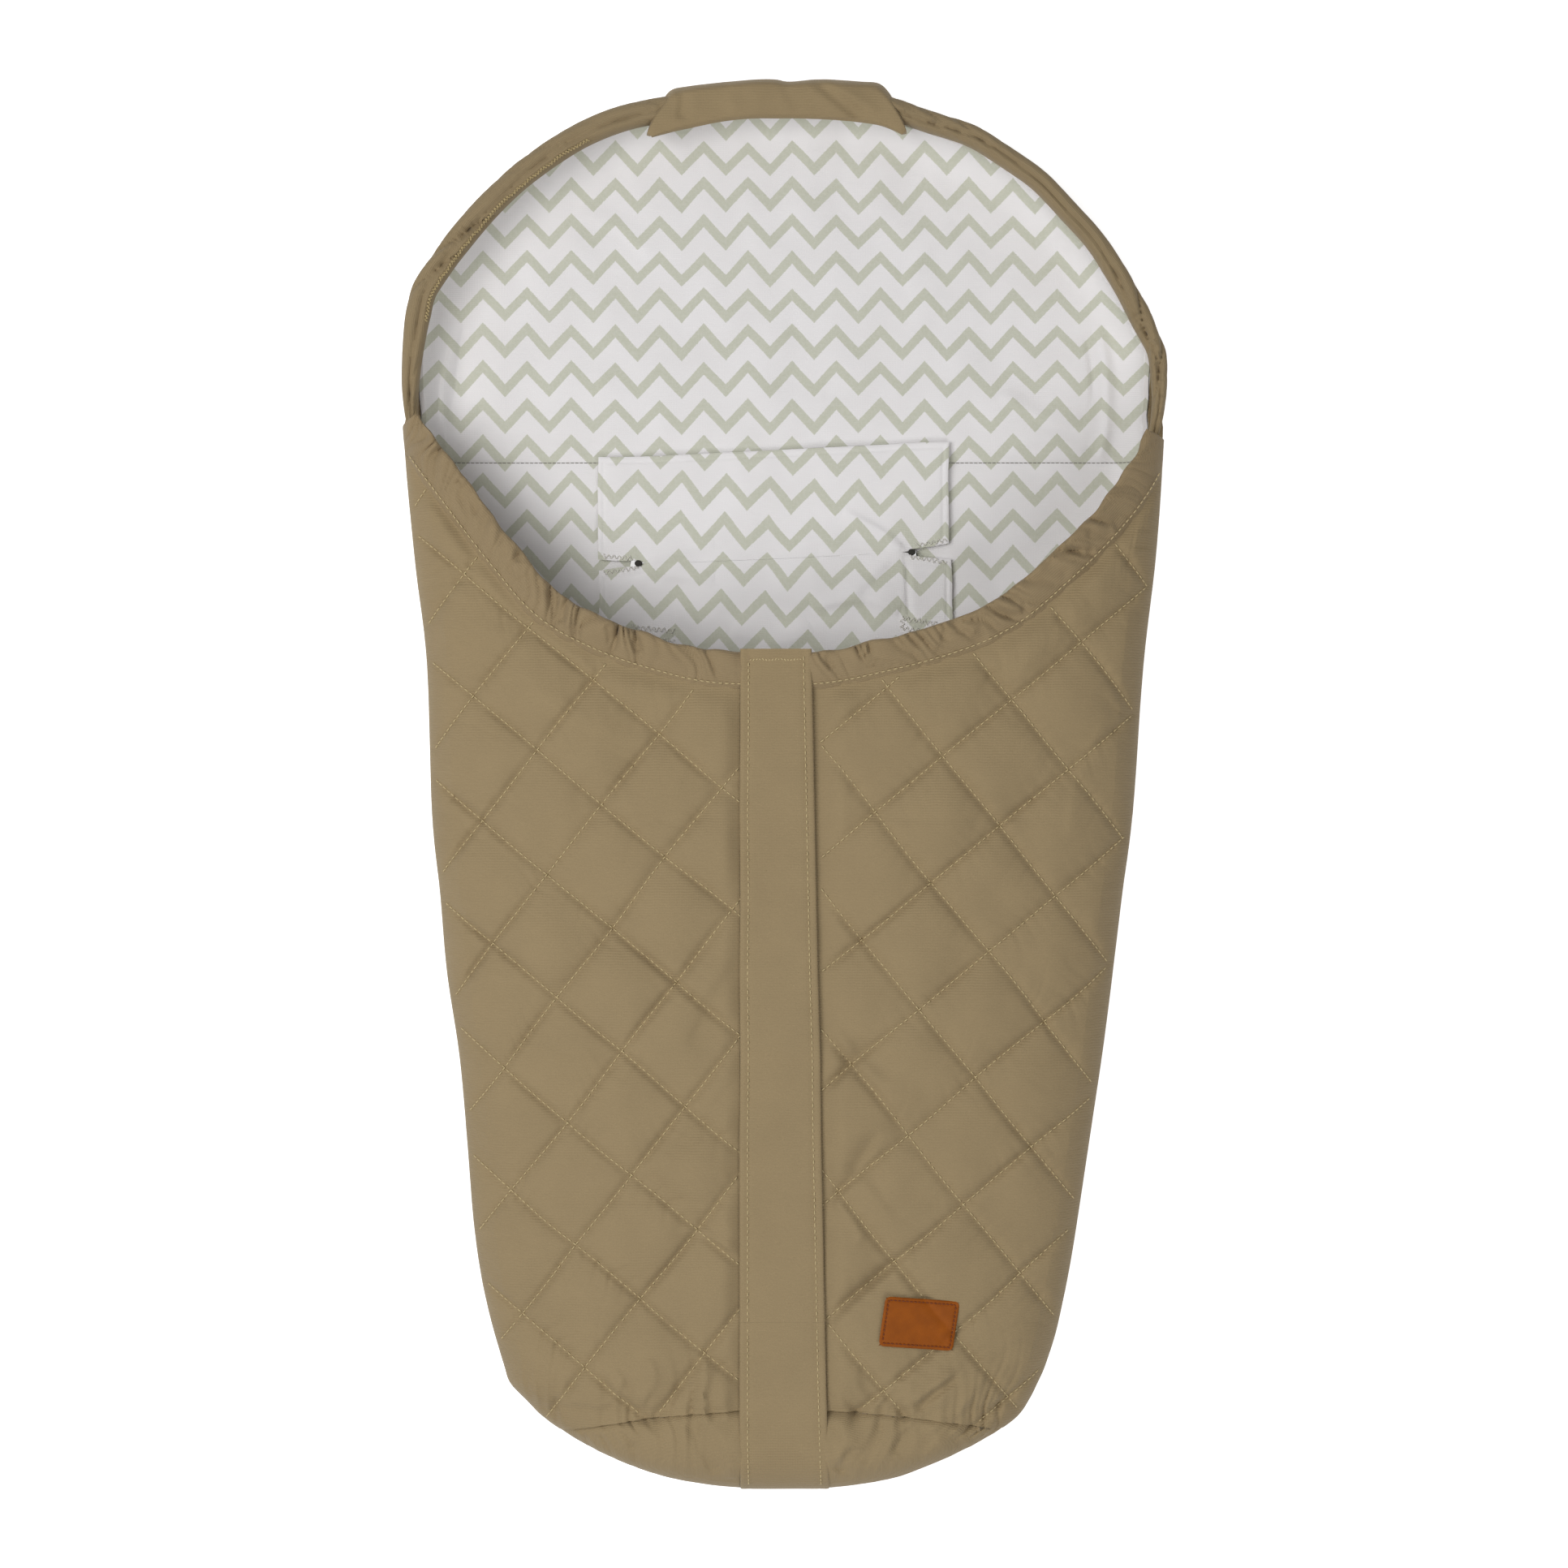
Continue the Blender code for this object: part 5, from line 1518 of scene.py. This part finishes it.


# Dark discs where the notches end in holes: painted shadow standing in for the shade inside the holes.
NOTCH_SHADOW_SPOTS = ((785.5, 692), (1124.5, 678))
NOTCH_SHADOW_HALF = (2.2 * MM, 1.8 * MM)
PANEL_NOTCH_SEAMS = (((742, 704), (786, 697)), ((1122, 684), (1168, 691)))
FLAP_NOTCH_SEAMS = (((742, 683), (778, 686)), ((1130, 670), (1168, 663)))
SLOT_SEAMS = (
    ((778, 771), (830, 776)), ((778, 784), (830, 789)),
    ((1112, 760), (1160, 768)), ((1112, 772), (1160, 781)),
    ((1112, 760), (1113, 774)),
)


def make_harness():
    """The fixed panel, the flap hinged above it, the stitches round the notches and the slots, and the
    painted shadow discs at the notches.
    """
    panel = panel_cloth("harness_panel_cloth", PANEL_TOP_EDGE, PANEL_LOW_EDGE, 3.0 * MM, False)
    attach(panel, "muff")
    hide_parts("harness_panel")
    flap = panel_cloth("harness_flap_cloth", FLAP_TOP_EDGE, FLAP_LOW_EDGE, 1.7 * MM, True)
    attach(flap, "harness_flap")
    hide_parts("harness_flap")
    fixed = [zigzag(line, 3.0 * MM) for line in PANEL_NOTCH_SEAMS]
    fixed += [zigzag(line, 3.4 * MM) for line in SLOT_SEAMS]
    thread = stitches("harness_panel_thread", fixed, WHITE_THREAD, 1.6 * MM, 1.5 * MM, 0.24 * MM)
    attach(thread, "muff")
    moving = [zigzag(line, 3.0 * MM) for line in FLAP_NOTCH_SEAMS]
    thread = stitches("harness_flap_thread", moving, WHITE_THREAD, 1.6 * MM, 1.5 * MM, 0.24 * MM)
    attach(thread, "harness_flap")
    # Each disc is a flat dark plate that paints the shadow inside a notch's hole.
    for word, place in zip(("left", "right"), NOTCH_SHADOW_SPOTS):
        outline = superellipse(from_photo(*place), NOTCH_SHADOW_HALF, 2, 24)
        low, high = PANEL_Z - 1 * MM, PANEL_Z + 1.1 * MM
        shadow_disc = rounded_plate(f"notch_shadow_disc_{word}", outline, low, high, 0.2 * MM, SHADE)
        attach(shadow_disc, "muff")


def zigzag(line, width):
    """A zigzag stitch along a line in photograph pixels, just above the panel."""
    start, end = (np.array(from_photo(*p)) for p in line)
    length = np.linalg.norm(end - start)
    along = (end - start) / length
    across = np.array((-along[1], along[0]))
    steps = max(int(length / (1.5 * MM)), 2)
    points = []
    for i in range(steps + 1):
        plan = start + along * length * i / steps + across * width / 2 * (-1) ** i
        points.append((plan[0], plan[1], PANEL_Z + 0.9 * MM))
    return np.array(points)


make_harness()

# The lining under the front
FRONT_LINING_DEPTH = 8.7 * MM


def make_front_linings():
    """The printed lining under each half of the front."""
    for side, word in SIDES:
        rows, count = 126, 76
        x, y = front_grid(side, rows, count, CHANNEL_EDGE + 6 * MM, FRONT_LINING_DEPTH, 2 * MM)
        z = front_z(x, y, FRONT_LINING_DEPTH) + 0.5 * MM * wander(x, y, 0.04, 701.0)
        x, y, z = facing_up(side, x, y, z)
        flat = np.stack([cloth_x(x, y), y], axis=-1)
        piece = cloth_mesh(f"front_lining_{word}", x, y, z, flat, 1.3 * MM, [LINING])
        across_crease(piece)
        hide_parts(f"side_{word}_lining", f"lapel_{word}_lining")


def make_toe_lining():
    """The printed lining under the toe."""
    rows, count = 44, 150
    unit = toe_columns(count)
    low = TOE_Y + FRONT_LINING_DEPTH + 0.5 * MM
    y = low + (LAPEL_END_Y - low) * (1 - np.cos(np.linspace(0, math.pi / 2, rows)))[:, None]
    y = y * np.ones((1, count))
    x = (toe_width(unit[None], y) - FRONT_LINING_DEPTH) * unit
    z = front_z(x, y, FRONT_LINING_DEPTH) - 1 * MM
    flat = np.stack([cloth_x(x, y), y], axis=-1)
    piece = cloth_mesh("toe_lining_print", x, y, z, flat, 1.3 * MM, [LINING])
    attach(piece, "muff")
    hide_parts("toe_lining")


make_front_linings()
make_toe_lining()


# The zip under the storm flap
ZIP_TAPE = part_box("zip_tape_right")
ZIP_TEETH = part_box("zip_teeth_right")
COIL_PITCH = 2.2 * MM


def make_zip():
    """Both tapes with their coils, in the body of the lapel that each is sewn to."""
    low, high = ZIP_TAPE
    level = (low.z + high.z) / 2
    tooth_level = (ZIP_TEETH[0].z + ZIP_TEETH[1].z) / 2
    for side, word in SIDES:
        count, rows = 14, 180
        x = side * np.linspace(1.2 * MM, high.x - 0.3 * MM, count)[None] * np.ones((rows, 1))
        y = np.linspace(low.y, high.y, rows)[:, None] * np.ones((1, count))
        z = level + 0.35 * MM + 0.12 * MM * wander(x, y, 0.02, 801.0)
        x, y, z = facing_up(side, x, y, z)
        tape = cloth_mesh(f"zip_tape_{word}_cloth", x, y, z, np.stack([x, y], axis=-1), 0.7 * MM, [TAPE])
        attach(tape, f"lapel_{word}")
        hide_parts(f"zip_tape_{word}")
        start = ZIP_TEETH[0].y + (COIL_PITCH / 2 if side > 0 else 0)
        places = np.arange(start + 0.6 * MM, ZIP_TEETH[1].y - 0.8 * MM, COIL_PITCH)
        reach = [side * x * MM for x in (3.4, 0.05)]
        paths = [np.array([(x, at, tooth_level) for x in reach]) for at in places]
        coil = stitches(f"zip_coil_{word}", paths, COIL, 3.3 * MM, 3.2 * MM, 0.52 * MM)
        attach(coil, f"lapel_{word}")
        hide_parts(f"zip_teeth_{word}")
        ends = (low.y + 2 * MM, high.y - 2 * MM)
        height = level + 0.55 * MM
        lines = [np.array([(side * at, end, height) for end in ends]) for at in (4.3 * MM, 11 * MM)]
        seam = stitches(f"zip_seam_{word}", lines, THREAD, 2.6 * MM, 1.9 * MM, 0.22 * MM)
        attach(seam, f"lapel_{word}")


def make_slider():
    """The painted slider with its two ears, and its pull tab with ribs for the grip."""
    low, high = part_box("zip_slider")
    middle, half = plan_of(low, high)
    plate_low = ZIP_TEETH[1].z + 0.3 * MM
    outline = superellipse(middle, half, 3.2)
    plate = rounded_plate("slider_plate", outline, plate_low, plate_low + 0.9 * MM, 0.25 * MM, ZINC)
    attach(plate, "slider")
    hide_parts("zip_slider")
    for side, word in SIDES:
        outline = superellipse((side * 3.75 * MM, middle[1]), (0.4 * MM, 2.2 * MM), 4, 24)
        ear = rounded_plate(f"slider_ear_{word}", outline, plate_low + 0.8 * MM, high.z, 0.15 * MM, ZINC)
        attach(ear, "slider")
    low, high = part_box("zip_puller")
    middle, half = plan_of(low, high)
    tab = rounded_plate("pull_tab", superellipse(middle, half, 5), low.z, high.z, 0.25 * MM, ZINC)
    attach(tab, "puller")
    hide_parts("zip_puller")
    for i in range(6):
        at = low.y + 3 * MM + i * 1.6 * MM
        outline = superellipse((middle[0], at), (half[0] * 0.72, 0.45 * MM), 4, 24)
        rib = rounded_plate(f"pull_rib_{i}", outline, high.z - 0.1 * MM, high.z + 0.22 * MM, 0.1 * MM, ZINC)
        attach(rib, "puller")


make_zip()
make_slider()

# The zip's top stops, and the pads under the harness flap


def finish_stops():
    """The zip's top stops stay as the frame has them, in the slider's paint."""
    for word in ("left", "right"):
        mesh = frame["nodes"][f"zip_top_stop_{word}"].data
        mesh.materials.clear()
        mesh.materials.append(ZINC)


def make_pads():
    """The hook pad and the loop pad that hold the harness flap down."""
    for name, carrier in (("hook_pad", "harness_flap"), ("loop_pad", "muff")):
        low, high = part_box(name)
        middle, half = plan_of(low, high)
        pad = rounded_plate(f"{name}_tape", superellipse(middle, half, 9), low.z, high.z, 0.2 * MM, HOOK)
        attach(pad, carrier)
        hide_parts(name)


finish_stops()
make_pads()

# Overlock along the hood rim's inner edge, and the stitching of the lining's seam, storm flap and label; the
# lining seam's grey thread also paints its shadow line
OVERLOCK_ENDS = ((525, 399), (729, 184))


def overlock_thread():
    """The fine zigzag of thread along the left of the hood rim's inner edge."""
    low, high = (from_photo(*p) for p in OVERLOCK_ENDS)
    inner = RIM_INSIDE[(RIM_INSIDE[:, 0] < high[0]) & (RIM_INSIDE[:, 1] > low[1])]
    inner = evenly(inner, 150)
    normal = line_normals(inner)
    swing = np.where(np.arange(len(inner)) % 2, 1.3 * MM, -1.3 * MM)[:, None]
    plan = inner + normal * swing
    path = plan_to_path(plan, surface_height(HOOD_RIM, plan, 2.5 * MM) + 0.3 * MM)
    overlock = stitches("hood_overlock", [path], PALE_THREAD, 2.0 * MM, 1.9 * MM, 0.4 * MM)
    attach(overlock, "muff")


def flap_thread():
    """Topstitching along both edges of the storm flap and the zigzag across its top."""
    top = on_top(0, PLACKET_EDGES[0][0])[1]
    above, below = [], []
    for edge, sign in ((0, 1), (1, -1)):
        stretches = ((LAPEL_END_Y + 1 * MM, top - 4 * MM, above), (TOE_Y + 6 * MM, LAPEL_END_Y, below))
        for low, high, out in stretches:
            y = np.linspace(low, high, 300)
            x = placket_limits(y)[edge] + sign * PLACKET_STITCH_IN
            out.append(np.stack([x, y, placket_height(x, y)], axis=1))
    left, right = placket_limits(np.array([top - 6 * MM]))
    count = 30
    x = np.linspace(left[0] + 5 * MM, right[0] - 5 * MM, count)
    y = top - 6 * MM + np.where(np.arange(count) % 2, 0.9 * MM, -0.9 * MM)
    above.append(np.stack([x, y, placket_height(x, y)], axis=1))
    main = stitches("storm_flap_thread", above, THREAD)
    hang_on_lapel(main)
    toe = stitches("storm_flap_toe_thread", below, THREAD)
    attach(toe, "muff")


def placket_height(x, y):
    """Height of the storm flap's upper face."""
    return PLACKET_TOP + 0.35 * MM - FRONT_TOP + front_z(np.zeros_like(x), y) + placket_wave(x, y)


def label_thread():
    """The stitched border of the label."""
    middle, across, up, half_x, half_y = label_place()
    across, up = across * (half_x - LABEL_STITCH_IN), up * (half_y - LABEL_STITCH_IN)
    signs = ((-1, -1), (1, -1), (1, 1), (-1, 1), (-1, -1))
    corners = [middle + across * a + up * b for a, b in signs]
    path = np.concatenate([np.linspace(a, b, 30) for a, b in zip(corners[:-1], corners[1:])])
    path = plan_to_path(path, surface_height(LABEL, path, 1 * MM) + 0.2 * MM)
    thread = stitches("label_thread", [path], LABEL_THREAD, 2.3 * MM, 1.7 * MM, 0.27 * MM)
    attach(thread, "muff")


def lining_seam():
    """The fine sewn line where the hood's lining meets the back's; its grey thread is partly real thread and
    partly painted shadow along the seam.
    """
    x = np.linspace(-inner_width(-1, HOOD_SEAM_Y) + 2 * MM, inner_width(1, HOOD_SEAM_Y) - 2 * MM, 400)
    y = np.full_like(x, HOOD_SEAM_Y - 0.2 * MM)
    z = bowl_z(x, y, BACK_LINING_DEPTH) + lining_relief(x, y) - SEAM_DIP + 0.1 * MM
    thread = stitches("lining_seam", [np.stack([x, y, z], axis=1)], SEAM_SHADE, 2.6 * MM, 2.4 * MM, 0.24 * MM)
    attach(thread, "muff")


overlock_thread()
lining_seam()
flap_thread()
label_thread()


# Floor, light and camera
FLOOR_GLOW = 0.75
SURROUND = 0.3
LAMPS = (
    ("key", (-0.9, 0.15, 1.7), (1.1, 1.1), 19.5),
    ("fill", (0.5, -1.3, 1.8), (1.0, 1.0), 11.0),
)


def seen_directly(nodes, links):
    """1 where a surface is seen directly, in a mirror or through glass, and 0 where it only gives light."""
    ray = nodes.new("ShaderNodeLightPath").outputs
    seen = math_node(nodes, links, "MAXIMUM", ray["Is Camera Ray"], ray["Is Glossy Ray"])
    return math_node(nodes, links, "MAXIMUM", seen, ray["Is Transmission Ray"])


def make_floor():
    """A white floor that keeps the soft shadow and looks pure white to the camera."""
    bpy.ops.mesh.primitive_plane_add(size=12, location=(0, 0, -0.0005))
    floor = bpy.context.object
    floor.name = "floor"
    mat, nodes, links, shader = new_material("floor_white")
    shader.inputs["Base Color"].default_value = (0.93, 0.93, 0.93, 1)
    shader.inputs["Roughness"].default_value = 1.0
    glow = nodes.new("ShaderNodeEmission")
    glow.inputs["Color"].default_value = (1, 1, 1, 1)
    strength = math_node(nodes, links, "MULTIPLY", seen_directly(nodes, links), FLOOR_GLOW)
    links.new(strength, glow.inputs["Strength"])
    both = nodes.new("ShaderNodeAddShader")
    links.new(shader.outputs[0], both.inputs[0])
    links.new(glow.outputs[0], both.inputs[1])
    links.new(both.outputs[0], nodes["Material Output"].inputs["Surface"])
    floor.data.materials.append(mat)


def make_light():
    """A wide soft lamp from the left, a second one from beyond the toe, and a soft white surround."""
    world = bpy.data.worlds.new("studio")
    bpy.context.scene.world = world
    world.use_nodes = True
    nodes, links = world.node_tree.nodes, world.node_tree.links
    surround = nodes["Background"]
    surround.inputs["Color"].default_value = (1, 1, 1, 1)
    seen = seen_directly(nodes, links)
    strength = math_node(nodes, links, "MULTIPLY_ADD", seen, 1 - SURROUND, SURROUND)
    links.new(strength, surround.inputs["Strength"])
    for name, place, size, power in LAMPS:
        data = bpy.data.lights.new(name, "AREA")
        data.shape = "RECTANGLE"
        data.size, data.size_y = size
        data.energy = power
        lamp = new_object(name, data)
        lamp.location = place
        lamp.rotation_euler = (-Vector(place)).to_track_quat("-Z", "Y").to_euler()


def make_camera():
    """Straight down on the middle, from the distance assumed for the photograph."""
    data = bpy.data.cameras.new("camera")
    data.sensor_width = 36
    data.lens = 90
    camera = new_object("camera", data)
    camera.location = (0, 0, CAMERA_Z)
    bpy.context.scene.camera = camera


make_floor()
make_light()
make_camera()
bpy.context.scene.view_settings.view_transform = "Standard"
